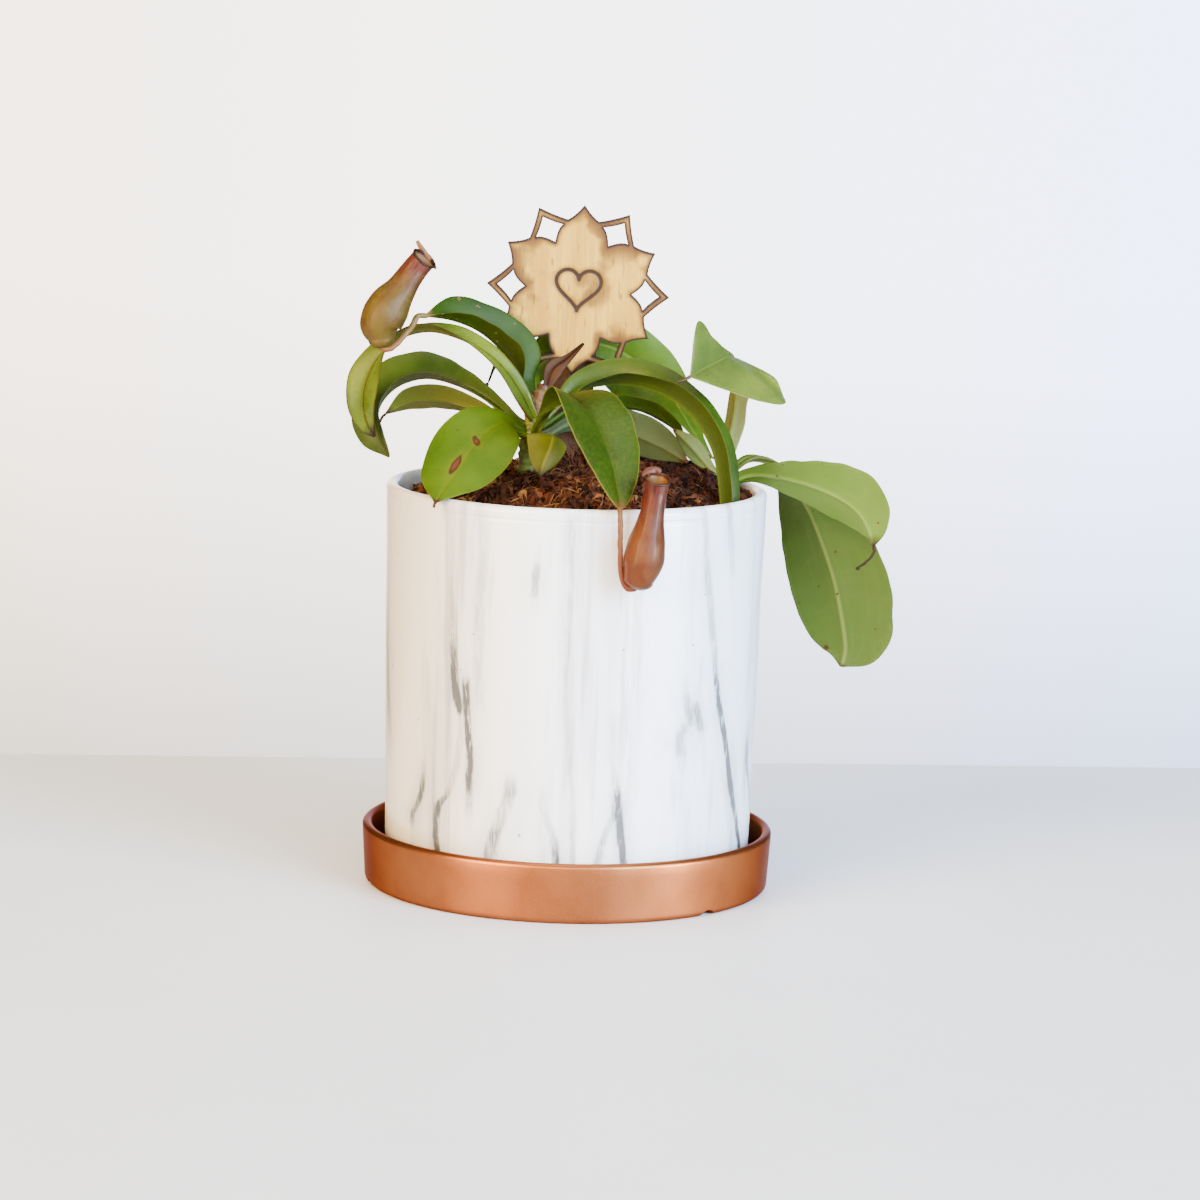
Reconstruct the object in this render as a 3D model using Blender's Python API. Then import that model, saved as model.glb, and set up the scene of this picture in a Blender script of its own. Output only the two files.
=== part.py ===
"""A potted tropical pitcher plant: saucer, pot, moss, two stems, leaves, two pitchers and a plaque.

Sizes are in millimetres until a mesh is made, and in metres from there. The origin is the centre of
the saucer's underside, on the surface that the plant stands on. +X is to the right and +Y away from
the side that the plant is looked at from.
"""

from dataclasses import dataclass

import bmesh
import bpy
import numpy as np
from mathutils import Vector

MM = 0.001
GAP = 0.3

# Pot and saucer
POT_RIM_R = 63.5
POT_FOOT_R = 61.0
POT_TOP = 134.6
POT_LIP = 2.0
POT_WALL = 4.0
POT_FLOOR = 5.5
POT_FOOT_ROUND = 2.0
DRAIN_R = 6.0
SAUCER_R = 68.8
SAUCER_FOOT_R = 67.8
SAUCER_TOP = 20.0
SAUCER_LIP = 1.6
SAUCER_FLOOR = 4.0
SAUCER_FOOT_ROUND = 2.0
NOTCH_WIDTH = 6.0
NOTCH_DEPTH = 5.0
NOTCH_HEIGHT = 2.0
NOTCH_ANGLES = (-46.0, 74.0, 194.0)
ROUND_STEPS = 48

# Moss
MOSS_EDGE = 127.5
MOSS_RISE = 12.5
MOSS_CENTRE = (8.0, 12.0)
MOSS_REACH = 55.0
MOSS_RINGS = 10
MOSS_STEPS = 40
MOSS_TUFT = 0.37
MOSS_WAVES = 10
MOSS_PITCH = (9.0, 20.0)
MOSS_SEED = 5
MOSS_SIDE_GAP = 0.7
HOLE_EXTRA = 0.15
HOLE_SIDES = 16

# Plaque
PLAQUE_CENTRE = (-1.4, 198.2)
PLAQUE_FRONT = 12.2
PLAQUE_THICK = 3.0
PLAQUE_LEAN = 3.0
PETAL_TIP = 28.5
OPEN_TIP = 30.5
JOIN_R = 23.8
JOIN_ANGLE = 12.7
VALLEY_R = 17.8
WINDOW_OUT = 27.2
WINDOW_SIDE_R = 22.6
WINDOW_SIDE_ANGLE = 13.0
PETAL_BOW = 0.5
OPEN_BOW = 0.3
WINDOW_BOW = 0.9
STAKE_POINT = 10.0
STAKE_BLUNT = 2.0
STAKE_WIDTH = 15.6
STAKE_THICK = 3.0
STAKE_TOP = 200.0
STAKE_FOOT = 104.0

# Plant
STEM_RINGS = 10
STEM_SIDES = 12
EDGE_THICK = 0.75
RIB_THICK = 1.5
ROW_PITCH = 4.6
LEAST_HALF = 0.45
LEAF_ROWS = (9, 22)
LEAF_HALF_COLUMNS = 3
TIP_CROWDING = 1.3
PITCHER_WALL = 0.9
PITCHER_SIDES = 14
PITCHER_RINGS = 13
PITCHER_FLOOR = 0.14
PITCHER_END = 0.8
MOUTH_START = 0.8
LID_THICK = 0.9
LID_ROOT = 0.7
TENDRIL_RINGS = 14
TENDRIL_SIDES = 8
GREEN = (0.16, 0.33, 0.04)


@dataclass(frozen=True)
class Stem:
    """A stem: the points of its axis from the bottom up, and its radius at each."""

    name: str
    axis: tuple
    radius: tuple


@dataclass(frozen=True)
class Leaf:
    """A leaf seated on a stem.

    seat is the compass angle round the stem and the height of the leaf's base there. spine holds the
    other points of the midrib, face the directions that the upper side looks in, left and right the
    half widths, and fold the angles in degrees that the two halves rise by, all evenly spread.
    """

    name: str
    stem: str
    seat: tuple
    spine: tuple
    face: tuple
    left: tuple
    right: tuple
    fold: tuple
    colour: tuple = GREEN


@dataclass(frozen=True)
class Pitcher:
    """A pitcher: its axis from the rounded bottom up to the mouth, and the radius at each point.

    lid holds the points of the shrivelled lid as offsets from the back of the mouth.
    """

    name: str
    axis: tuple
    radius: tuple
    mouth_tilt: float
    lid: tuple
    lid_width: tuple


STEMS = (
    Stem("stem_main",
         ((-16.2, -5, 112), (-16.5, -5, 140), (-16, -4.5, 150), (-14.5, -2.5, 158), (-12.5, 0.5, 164.5),
          (-11.6, 1.8, 167.5)),
         (3.4, 3.2, 3.0, 2.9, 2.6, 2.2)),
    Stem("stem_side",
         ((46, 10, 112), (47, 11, 128), (48, 11.5, 134), (48.6, 12, 138.5)),
         (2.8, 2.7, 2.5, 2.0)),
)

LEAVES = (
    Leaf("leaf_upper_left", "stem_main", (180, 162),
         ((-19.8, 1.5, 168), (-23, 2.5, 174.5), (-28.3, 3, 180.5), (-35, 1, 185.5), (-43, -4, 188.8),
          (-51.3, -11, 190.5)),
         ((0.8, -0.5, 0.3), (0.75, -0.2, 0.6), (0.45, -0.2, 0.85), (0.15, -0.2, 1)),
         (0.8, 4, 8, 7, 6, 5, 0.5), (0.8, 6, 11.5, 11, 9.5, 8, 0.5), (30, 58, 60, 45)),
    Leaf("leaf_long_left", "stem_main", (250, 157),
         ((-19, -8, 164.5), (-24.5, -8.5, 172.5), (-31.5, -8.5, 178.8), (-40, -7.5, 183.2), (-50, -6.5, 185.2),
          (-59.5, -6, 182.5), (-66.2, -6, 176), (-70.2, -6, 168), (-71.2, -6, 160), (-69.7, -5.5, 153.2),
          (-67.3, -5, 149.2)),
         ((0.4, -0.9, 0.2), (0.4, -0.7, 0.5), (0.3, -0.45, 0.8), (0, 0.1, 1), (-0.5, -0.6, 0.5),
          (-0.6, -0.8, 0.1), (-0.4, -0.9, 0)),
         (1.4, 3.6, 4.4, 4.6, 4.8, 5, 6, 8.5, 9, 7, 3.5, 0.5), (1.4, 3.3, 3.6, 4, 4.5, 5, 5.2, 6, 7, 6, 3.5, 0.5),
         (15, 25, 30, 25, 20, 15)),
    Leaf("leaf_middle_left", "stem_main", (203, 153.5),
         ((-23.5, -2, 157.2), (-31, 3, 162), (-41, 7, 166.2), (-51.5, 8, 168), (-61, 7, 164.8),
          (-66.6, 4.5, 157.8), (-65.8, 3, 149.2), (-62.6, 2, 141.7)),
         ((0.5, -0.6, 0.6), (0.3, -0.6, 0.8), (0.1, -0.45, 1), (-0.5, -0.4, 0.8), (-0.8, -0.6, 0.1),
          (-0.7, -0.7, -0.2)),
         (1.0, 2.8, 5.5, 7.8, 9.3, 9, 8, 7, 0.5), (1.0, 2.6, 4, 6.5, 9.5, 10.5, 9.5, 8.5, 0.5), (20, 35, 40, 35, 20)),
    Leaf("leaf_low_left", "stem_main", (150, 150.5),
         ((-25, 7, 154), (-34, 14, 157), (-45, 19, 159.2), (-56.5, 21.5, 158.5), (-65, 21, 154)),
         ((0.3, 0.5, 0.8), (0.1, 0.55, 0.8), (-0.1, 0.6, 0.8), (-0.4, 0.6, 0.7)),
         (2, 5, 7.5, 8.5, 7, 0.5), (2, 5, 8.5, 9.5, 8, 0.5), (10, 10)),
    Leaf("leaf_front_left", "stem_main", (232, 151.5),
         ((-23, -12.5, 156), (-28, -18, 155.2), (-33, -25, 151.3), (-37.5, -33, 145.5), (-41.5, -41, 139.5),
          (-45.4, -50, 134)),
         ((0.0, -0.7, 0.7), (-0.1, -0.75, 0.65), (-0.15, -0.75, 0.65), (-0.2, -0.7, 0.6)),
         (2, 6, 11.5, 14, 13.5, 9.5, 0.5), (1.5, 5, 11, 14, 13.2, 9.8, 0.5), (10, 5, -6, -4)),
    Leaf("leaf_front", "stem_main", (300, 150.5),
         ((-13, -11, 157), (-10.5, -16, 161), (-5.5, -22.5, 164.4), (0.5, -30.5, 164.7), (5, -39, 160.5),
          (8.8, -48, 154.2), (11.6, -57, 147), (13.5, -65, 139), (14, -68.5, 135.6)),
         ((0.8, -0.3, 0.4), (0.5, -0.4, 0.8), (0.35, -0.35, 1), (0.25, -0.5, 0.9), (0.3, -0.7, 0.6),
          (0.3, -0.8, 0.5)),
         (1.8, 2.2, 2.8, 6.5, 11.5, 12, 11, 8.5, 4, 0.5), (1.8, 2.2, 2.8, 7.5, 12.5, 13, 12, 9, 4, 0.5),
         (35, 35, 22, 12, 8)),
    Leaf("leaf_small_front", "stem_main", (270, 146.5),
         ((-11.5, -13.5, 152), (-8.5, -18.5, 153), (-9, -23, 149.5), (-11, -25.5, 144.5), (-12, -26.5, 140.5)),
         ((0.6, 0.2, 0.8), (0.5, -0.6, 0.7), (0.4, -0.9, 0.3), (0.3, -0.95, 0.1)),
         (2, 4, 6.5, 6, 4, 0.5), (2, 4, 8.5, 8, 5, 0.5), (-10, -20, -20)),
    Leaf("leaf_big_arch", "stem_main", (0, 154),
         ((-7, 2, 160.5), (0.5, 5.5, 165.8), (10.5, 5.5, 168), (20, 2.5, 168), (30, -2, 165), (38.2, -8.5, 159),
          (44, -15, 150.3), (46.5, -19.5, 141), (47.8, -22.5, 130.3)),
         ((-0.4, -0.7, 0.6), (0, -0.6, 0.9), (0.3, -0.5, 1), (0.8, -0.3, 0.6), (0.95, -0.2, 0.2),
          (0.95, -0.2, 0.1)),
         (0.7, 2.4, 6.0, 8.6, 9, 8.8, 8.8, 8.8, 8, 6.5), (1.2, 3.5, 6, 7.5, 8, 7.5, 7.5, 7, 6.5, 6),
          (30, 50, 52, 50, 50)),
    Leaf("leaf_behind_plaque", "stem_main", (90, 154),
         ((-15.2, 8, 159.5), (-17, 15.5, 165), (-14, 22.8, 171.5), (-6, 28, 176.5), (2, 32, 178.5),
          (10, 34, 177.5),
          (17, 34.5, 174), (23, 34, 169.5), (29, 32, 164), (35, 28, 156), (39.5, 23, 149), (45, 17, 142.5)),
         ((0.2, -0.9, 0.3), (0.3, -0.9, 0.3), (0.1, -0.95, 0.3), (0.1, -1, 0.25), (0.3, -1, 0.2),
          (0.7, -0.7, 0.2), (0.9, -0.3, 0.2)),
         (1.4, 2.8, 3.2, 6, 9.5, 10.5, 11, 11, 10.5, 9, 7, 5, 2.5),
          (1.4, 2.8, 3.2, 5, 8, 10, 12, 14, 14.5, 12, 8.5, 5.5, 2.5), (15, 10, 8, 10)),
    Leaf("leaf_back_left", "stem_main", (140, 160),
         ((-20.5, 6.5, 165), (-22, 14, 171), (-24.2, 20.5, 174.3), (-26.8, 24.5, 174), (-29, 26, 170),
          (-31, 27, 164.6)),
         ((0.5, -0.6, 0.7), (0.2, -0.5, 0.85), (-0.3, -0.1, 0.9), (-0.8, 0.1, 0.5)),
         (1.2, 3, 4, 5, 4.5, 1.5, 0.5), (1.2, 3, 4, 5, 4.5, 1.5, 0.5), (10, 10)),
    Leaf("leaf_dark_back", "stem_main", (35, 152),
         ((-5, 5, 157), (4, 8.4, 159.2), (14, 12.5, 160), (24, 16.5, 157.5), (32, 18, 152.5),
          (36.5, 18, 147.5)),
         ((0, 0.5, 0.8), (0, 0.5, 0.8), (0.3, 0.4, 0.8), (0.6, 0.3, 0.6)),
         (1.2, 3, 5, 6.5, 6.5, 4.5, 0.5), (1.2, 3, 6, 7.5, 7.5, 5, 0.5), (10, 10)),
    Leaf("leaf_pale_under", "stem_main", (8, 149.5),
         ((-3, 2.5, 154.5), (8, 5.5, 154.5), (18, 6.5, 151.5), (28, 6, 147.5), (37, 4.5, 142.5)),
         ((0, 0.6, 0.7), (0, 0.8, 0.5), (0.2, 0.85, 0.4), (0.4, 0.85, 0.3)),
         (2, 4, 7.5, 8.5, 6.5, 0.5), (2, 4, 7.5, 8.5, 7, 0.5), (5, 5)),
    Leaf("leaf_right_top", "stem_side", (105, 136),
         ((49.8, 18.5, 144), (52.3, 23.5, 154), (53.2, 26, 163), (53.5, 24.5, 171), (51.5, 18.5, 176.7),
          (48.5, 10, 177.5),
          (44.5, 1, 176.3), (40.2, -8, 174.9), (36.2, -15, 173.3)),
         ((0.4, 0.9, 0), (0.4, 0.85, 0.2), (0.6, 0.6, 0.5), (0.84, 0.1, 0.52), (0.86, -0.1, 0.5),
          (0.86, -0.1, 0.5)),
         (2, 3, 4, 4.5, 10, 18.5, 25.5, 21, 10.5, 0.5), (2, 3, 4, 4, 2, 0.9, 3.2, 9.2, 16.5, 0.5),
          (20, 15, 25, 25)),
    Leaf("leaf_right_side", "stem_side", (-30, 134.5),
         ((57, 7, 138.4), (66, 2, 139), (77, -4, 137.4), (87, -9, 134), (93.5, -13, 129.7), (97, -15.5, 124),
          (98.5, -16, 118.8)),
         ((0, 0.7, 0.7), (0.1, 0.75, 0.6), (0.3, 0.8, 0.5), (0.6, 0.75, 0.3), (0.8, 0.6, 0)),
         (1.5, 4, 8, 11, 12, 10, 5, 0.5), (1.5, 3, 6, 9.5, 12.5, 12.5, 8, 0.5), (5, 5, 15, 15)),
    Leaf("leaf_right_hanging", "stem_side", (15, 137),
         ((57, 20, 142), (64, 23, 141.5), (71, 25, 136.5), (77, 25, 128), (82, 23, 118.5), (88, 19, 102.5),
          (91.5, 16, 87), (92.5, 15, 78.5), (91.2, 14, 73.2)),
         ((0.2, -0.3, 0.9), (0.4, 0.2, 0.8), (0.7, 0.6, 0.4), (0.5, 0.85, 0.2), (0.3, 0.9, 0), (0.3, 0.9, 0)),
         (1.0, 2, 3.2, 13, 19.8, 19, 18, 13.5, 8, 0.5), (1.0, 2, 2.5, 4, 9, 15, 19, 17.5, 13, 0.5),
          (20, 15, 5, 5)),
    Leaf("leaf_pale_tip", "stem_side", (185, 137),
         ((43, 12, 141.5), (39.2, 11.3, 145.8), (35.6, 10.8, 149.5), (31.9, 10.5, 152.8)),
         ((-0.6, 0.6, 0.3), (-0.5, 0.7, 0.5), (-0.4, 0.7, 0.6)),
         (0.7, 2.5, 3.5, 2.5, 0.5), (0.7, 2.5, 3.5, 2.5, 0.5), (10, 10)),
    Leaf("leaf_dried", "stem_main", (0, 168),
         ((-9, 3.6, 172.5), (-4.5, 4.8, 176), (1, 3.5, 181.5)),
         ((0.3, -0.9, 0.2), (0.3, -0.9, 0.2)),
         (2, 3.5, 1.8, 0.5), (2, 3.5, 1.8, 0.5), (30, 20), (0.16, 0.06, 0.03)),
)

PITCHERS = (
    Pitcher("pitcher_left",
            ((-65.2, -19.5, 181.6), (-65.8, -19, 187.5), (-63.2, -18.2, 193.6), (-59, -17.2, 200),
             (-55.6, -16.6, 205), (-52, -16, 209.6)),
            (2.0, 6.6, 7.1, 5.0, 4.3, 4.3), 20.0,
            ((0, 0, 0), (1.2, 0.2, 1.6), (3.4, -0.8, -0.6), (5.2, -1.4, -3.8)), (0.9, 0.9, 0.7, 0.5)),
    Pitcher("pitcher_front",
            ((20.4, -70.6, 112.8), (21.8, -70.6, 118.5), (22.7, -70, 124.8), (23.9, -69.5, 132.8),
             (25, -69.3, 140.7), (25.7, -69.3, 146)),
            (4.0, 6.1, 6.2, 4.3, 3.7, 4.05), 20.0,
            ((0, 0, 0), (-1.2, -0.7, 1.0), (-3.2, -1.6, 0.9), (-5.0, -2.4, -0.3)), (1.8, 1.8, 1.5, 1.0)),
)

TENDRILS = (
    ("tendril_left",
     ((-51.8, -11.5, 190.6), (-54, -13, 190.2), (-55.7, -14.8, 187), (-58.9, -17, 183.2),
      (-61.6, -18.7, 180.6), (-63.9, -19.4, 179.9)), 0.8),
    ("tendril_front",
     ((14, -69.3, 135.2), (14.3, -70.6, 129.3), (14.6, -71, 120), (15.3, -71, 113.8),
      (17.1, -71, 111.3), (19.2, -70.8, 111.2)), 0.75),
)


def clear_scene():
    """Removes what the file opened with."""
    for item in list(bpy.data.objects):
        bpy.data.objects.remove(item, do_unlink=True)


def material(name, colour, roughness, metallic=0.0):
    """A Principled material of one colour."""
    made = bpy.data.materials.new(name)
    made.use_nodes = True
    shader = made.node_tree.nodes["Principled BSDF"]
    shader.inputs["Base Color"].default_value = (*colour, 1)
    shader.inputs["Roughness"].default_value = roughness
    shader.inputs["Metallic"].default_value = metallic
    return made


def add_object(name, points, faces, finish, smooth=True):
    """Makes one named object from points in millimetres."""
    mesh = bpy.data.meshes.new(name)
    mesh.from_pydata((np.asarray(points) * MM).tolist(), [], np.asarray(faces).tolist())
    mesh.validate()
    if smooth:
        mesh.shade_smooth()
        mesh.set_sharp_from_angle(angle=np.radians(40))
    made = bpy.data.objects.new(name, mesh)
    made.data.materials.append(finish)
    bpy.context.collection.objects.link(made)
    return made


def unit(vectors):
    """Vectors at length one."""
    return vectors / np.maximum(np.linalg.norm(vectors, axis=-1, keepdims=True), 1e-9)


def curve_through(values, places):
    """The smooth curve (Catmull-Rom) through evenly spread values, read at places from 0 to 1."""
    given = np.asarray(values, float).reshape(len(values), -1)
    count = len(given)
    ends = np.vstack([2 * given[0] - given[1], given, 2 * given[-1] - given[-2]])
    where = np.clip(places, 0, 1) * (count - 1)
    start = np.minimum(where.astype(int), count - 2)
    t = (where - start)[:, None]
    a, b, c, d = ends[start], ends[start + 1], ends[start + 2], ends[start + 3]
    return 0.5 * (2 * b + (c - a) * t + (2 * a - 5 * b + 4 * c - d) * t**2 + (3 * b - a - 3 * c + d) * t**3)


def even_places(points, count):
    """Places that divide the curve through the points into equal lengths, and the curve's length."""
    fine = np.linspace(0, 1, 300)
    steps = np.linalg.norm(np.diff(curve_through(points, fine), axis=0), axis=1)
    run = np.concatenate([[0], np.cumsum(steps)])
    return np.interp(np.linspace(0, run[-1], count), run, fine), run[-1]


def stem_at(stem, height):
    """The centre and radius of a stem at a height."""
    fine = np.linspace(0, 1, 300)
    axis = curve_through(stem.axis, fine)
    radius = curve_through(stem.radius, fine)[:, 0]
    centre = [np.interp(height, axis[:, 2], axis[:, k]) for k in range(3)]
    return np.array(centre), np.interp(height, axis[:, 2], radius)


def leaf_spine(leaf):
    """The midrib's points, the first of them seated on the stem with a small gap."""
    stem = next(each for each in STEMS if each.name == leaf.stem)
    angle, height = leaf.seat
    top = np.array(stem.axis[-1], float)
    if height > top[2]:
        return np.vstack([top + [0, 0, GAP + RIB_THICK / 2], leaf.spine])
    centre, radius = stem_at(stem, height)
    reach = radius + GAP + RIB_THICK / 2
    out = np.array([np.cos(np.radians(angle)), np.sin(np.radians(angle)), 0.0])
    return np.vstack([centre + reach * out, leaf.spine])


def leaf_grid(leaf):
    """The middle surface of a leaf as rows along the midrib, and its thickness there.

    Across a row a point goes out by the half width times the cosine of the fold, and up by the half
    width times its sine.
    """
    spine = leaf_spine(leaf)
    length = even_places(spine, 2)[1]
    rows = int(np.clip(length / ROW_PITCH, *LEAF_ROWS))
    even = even_places(spine, rows)[0]
    share = np.linspace(0, 1, rows)
    places = np.interp(1 - (1 - share) ** TIP_CROWDING, share, even)
    middle = curve_through(spine, places)
    along = unit(np.gradient(middle, axis=0))
    face = curve_through(leaf.face, places)
    face = unit(face - (face * along).sum(1, keepdims=True) * along)
    side = np.cross(along, face)
    fold = np.radians(curve_through(leaf.fold, places))
    share = np.linspace(-1, 1, 2 * LEAF_HALF_COLUMNS + 1)
    left = np.maximum(curve_through(leaf.left, places), LEAST_HALF)
    right = np.maximum(curve_through(leaf.right, places), LEAST_HALF)
    half = np.where(share[None] < 0, left, right)
    out = half * share[None] * np.cos(fold)
    up = half * np.abs(share[None]) * np.sin(fold)
    grid = middle[:, None] + side[:, None] * out[..., None] + face[:, None] * up[..., None]
    taper = np.linspace(1, 0, rows)[:, None]
    thick = EDGE_THICK + (RIB_THICK - EDGE_THICK) * taper * (1 - np.abs(share[None])) ** 2
    return grid, thick


def sheet_solid(grid, thick):
    """A closed solid round a surface, with both faces split into triangles alike."""
    rows, columns = grid.shape[:2]
    down = np.gradient(grid, axis=0)
    across = np.gradient(grid, axis=1)
    normal = unit(np.cross(across, down))
    offset = normal * thick[..., None] / 2
    points = np.vstack([(grid + offset).reshape(-1, 3), (grid - offset).reshape(-1, 3)])
    index = np.arange(rows * columns).reshape(rows, columns)
    a, b, c, d = index[:-1, :-1], index[:-1, 1:], index[1:, 1:], index[1:, :-1]
    top = np.vstack([np.stack([a, b, c], -1).reshape(-1, 3), np.stack([a, c, d], -1).reshape(-1, 3)])
    under = top[:, ::-1] + rows * columns
    loop = np.concatenate([index[0, :-1], index[:-1, -1], index[-1, :0:-1], index[:0:-1, 0]])
    after = np.roll(loop, -1)
    low, low_after = loop + rows * columns, after + rows * columns
    rim = np.vstack([np.stack([loop, low, low_after], -1), np.stack([loop, low_after, after], -1)])
    return points, np.vstack([top, under, rim])


def tube_rings(axis, radius, places, sides, mouth_tilt=0.0):
    """Rings of points square to a path, turned without twist, the last ones tilted like a mouth."""
    middle = curve_through(axis, places)
    along = unit(np.gradient(middle, axis=0))
    first = unit(np.cross(along, np.array([0.0, 1.0, 0.0])))
    second = np.cross(along, first)
    turn = np.linspace(0, 2 * np.pi, sides, endpoint=False)
    size = curve_through(radius, places)[:, :, None]
    ring = np.cos(turn)[None, :, None] * first[:, None] + np.sin(turn)[None, :, None] * second[:, None]
    points = middle[:, None] + ring * size
    near_mouth = np.clip((places - MOUTH_START) / (1 - MOUTH_START), 0, 1)
    lift = near_mouth[:, None, None] * np.tan(np.radians(mouth_tilt))
    back = (ring[..., 1] * size[..., 0])[..., None]
    return points + along[:, None] * back * lift


def ring_faces(rings, sides, start=0):
    """Triangles between rings that follow one another."""
    index = start + np.arange(rings * sides).reshape(rings, sides)
    a, b = index[:-1], np.roll(index, -1, axis=1)[:-1]
    d, c = index[1:], np.roll(index, -1, axis=1)[1:]
    return np.vstack([np.stack([a, b, c], -1).reshape(-1, 3), np.stack([a, c, d], -1).reshape(-1, 3)])


def fan(ring, centre):
    """Triangles from a ring of indices to one centre."""
    return np.stack([ring, np.roll(ring, -1), np.full(len(ring), centre)], -1)


def tube_solid(axis, radius, count, sides):
    """A closed solid tube."""
    places = even_places(axis, count)[0]
    rings = tube_rings(axis, radius, places, sides)
    points = np.vstack([rings.reshape(-1, 3), rings[0].mean(0), rings[-1].mean(0)])
    first, last = np.arange(sides), np.arange(sides) + (count - 1) * sides
    faces = np.vstack([
        ring_faces(count, sides),
        fan(first[::-1], count * sides),
        fan(last, count * sides + 1),
    ])
    return points, faces


def outward(points, faces):
    """The same faces, all turned over if they enclose a negative volume."""
    corner = points[faces]
    volume = np.einsum("ij,ij->i", corner[:, 0], np.cross(corner[:, 1], corner[:, 2])).sum()
    return faces[:, ::-1] if volume < 0 else faces


def add_closed(name, points, faces, finish):
    """Adds a closed solid with its faces pointing out."""
    return add_object(name, points, outward(points, faces), finish)


def turned(profile, steps):
    """A closed ring-shaped solid: a closed profile of radius and height turned round the Z axis."""
    profile = np.asarray(profile, float)
    turn = np.linspace(0, 2 * np.pi, steps, endpoint=False)
    ring = np.stack([
        profile[:, None, 0] * np.cos(turn)[None],
        profile[:, None, 0] * np.sin(turn)[None],
        np.broadcast_to(profile[:, None, 1], (len(profile), steps)),
    ], -1)
    closed = np.concatenate([ring, ring[:1]])
    faces = ring_faces(len(closed), steps)
    faces = faces % (len(profile) * steps)
    return ring.reshape(-1, 3), faces


def turned_to_axis(profile, steps):
    """A turned solid whose profile starts and ends on the axis."""
    profile = np.asarray(profile, float)
    inner = profile[1:-1]
    turn = np.linspace(0, 2 * np.pi, steps, endpoint=False)
    ring = np.stack([
        inner[:, None, 0] * np.cos(turn)[None],
        inner[:, None, 0] * np.sin(turn)[None],
        np.broadcast_to(inner[:, None, 1], (len(inner), steps)),
    ], -1)
    total = len(inner) * steps
    points = np.vstack([ring.reshape(-1, 3), [0, 0, profile[0, 1]], [0, 0, profile[-1, 1]]])
    first, last = np.arange(steps), np.arange(steps) + total - steps
    faces = np.vstack([ring_faces(len(inner), steps), fan(first[::-1], total), fan(last, total + 1)])
    return points, faces


def arc(centre, radius, start, end, count):
    """Points on an arc in a profile, angles in degrees."""
    turn = np.radians(np.linspace(start, end, count))
    return [(centre[0] + radius * np.cos(t), centre[1] + radius * np.sin(t)) for t in turn]


def pot_inner(height):
    """The pot's inner radius at a height: its outer taper less the wall."""
    share = (height - SAUCER_FLOOR) / (POT_TOP - SAUCER_FLOOR)
    return POT_FOOT_R + (POT_RIM_R - POT_FOOT_R) * share - POT_WALL


def build_pot():
    """The pot: a tapered wall with a rounded lip and a drainage hole."""
    bottom = SAUCER_FLOOR + GAP
    floor = bottom + POT_FLOOR
    foot = (POT_FOOT_R - POT_FOOT_ROUND, bottom + POT_FOOT_ROUND)
    lip = (POT_RIM_R - POT_LIP, POT_TOP - POT_LIP)
    profile = [(DRAIN_R, bottom)]
    profile += arc(foot, POT_FOOT_ROUND, -90, 0, 3)
    profile += arc(lip, POT_LIP, 0, 180, 7)
    profile += [(pot_inner(floor + 3), floor + 3), (pot_inner(floor) - 3, floor), (DRAIN_R, floor)]
    glaze = material("pot_glaze", (0.82, 0.82, 0.80), 0.35)
    return add_closed("pot", *turned(profile, ROUND_STEPS), glaze)


def notch_cutter():
    """The prisms with arched tops that are cut from the saucer's bottom edge."""
    points = []
    faces = []
    arch = np.radians(np.linspace(0, 180, 7))
    section = [(NOTCH_WIDTH / 2, -1.0)]
    section += [(NOTCH_WIDTH / 2 * np.cos(t), NOTCH_HEIGHT * np.sin(t)) for t in arch]
    section += [(-NOTCH_WIDTH / 2, -1.0)]
    for angle in NOTCH_ANGLES:
        out = np.array([np.cos(np.radians(angle)), np.sin(np.radians(angle)), 0])
        side = np.array([-out[1], out[0], 0])
        start = len(points)
        for reach in (SAUCER_R - NOTCH_DEPTH, SAUCER_R + 2):
            points += [out * reach + side * x + np.array([0, 0, z]) for x, z in section]
        count = len(section)
        for k in range(count):
            after = (k + 1) % count
            faces.append([start + k, start + after, start + count + after, start + count + k])
        faces.append([start + k for k in range(count)][::-1])
        faces.append([start + count + k for k in range(count)])
    return points, faces


def build_saucer():
    """The saucer: a shallow round dish with three notches in its bottom edge."""
    foot = (SAUCER_FOOT_R - SAUCER_FOOT_ROUND, SAUCER_FOOT_ROUND)
    lip = (SAUCER_R - SAUCER_LIP, SAUCER_TOP - SAUCER_LIP)
    inner = SAUCER_R - 2 * SAUCER_LIP
    profile = [(0, 0)]
    profile += arc(foot, SAUCER_FOOT_ROUND, -90, 0, 3)
    profile += arc(lip, SAUCER_LIP, 0, 180, 7)
    profile += [(inner - 0.4, SAUCER_FLOOR + 2.5), (inner - 2.9, SAUCER_FLOOR), (0, SAUCER_FLOOR)]
    copper = material("saucer_copper", (0.55, 0.26, 0.14), 0.35, 0.8)
    saucer = add_closed("saucer", *turned_to_axis(profile, ROUND_STEPS), copper)
    points, faces = notch_cutter()
    cut(saucer, closed_cutter("notch_cutter", points, faces), "MANIFOLD")
    return saucer


def closed_cutter(name, points, faces):
    """A hidden solid to cut with, its faces turned outwards."""
    mesh = bpy.data.meshes.new(name)
    mesh.from_pydata((np.asarray(points) * MM).tolist(), [], faces)
    shape = bmesh.new()
    shape.from_mesh(mesh)
    bmesh.ops.recalc_face_normals(shape, faces=shape.faces)
    shape.to_mesh(mesh)
    shape.free()
    made = bpy.data.objects.new(name, mesh)
    made.hide_render = True
    made.display_type = "WIRE"
    bpy.context.collection.objects.link(made)
    return made


def cut(body, cutter, solver="EXACT"):
    """Takes the cutter away from the body."""
    boolean = body.modifiers.new("cut_" + cutter.name, "BOOLEAN")
    boolean.operation = "DIFFERENCE"
    boolean.object = cutter
    boolean.solver = solver


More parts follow.
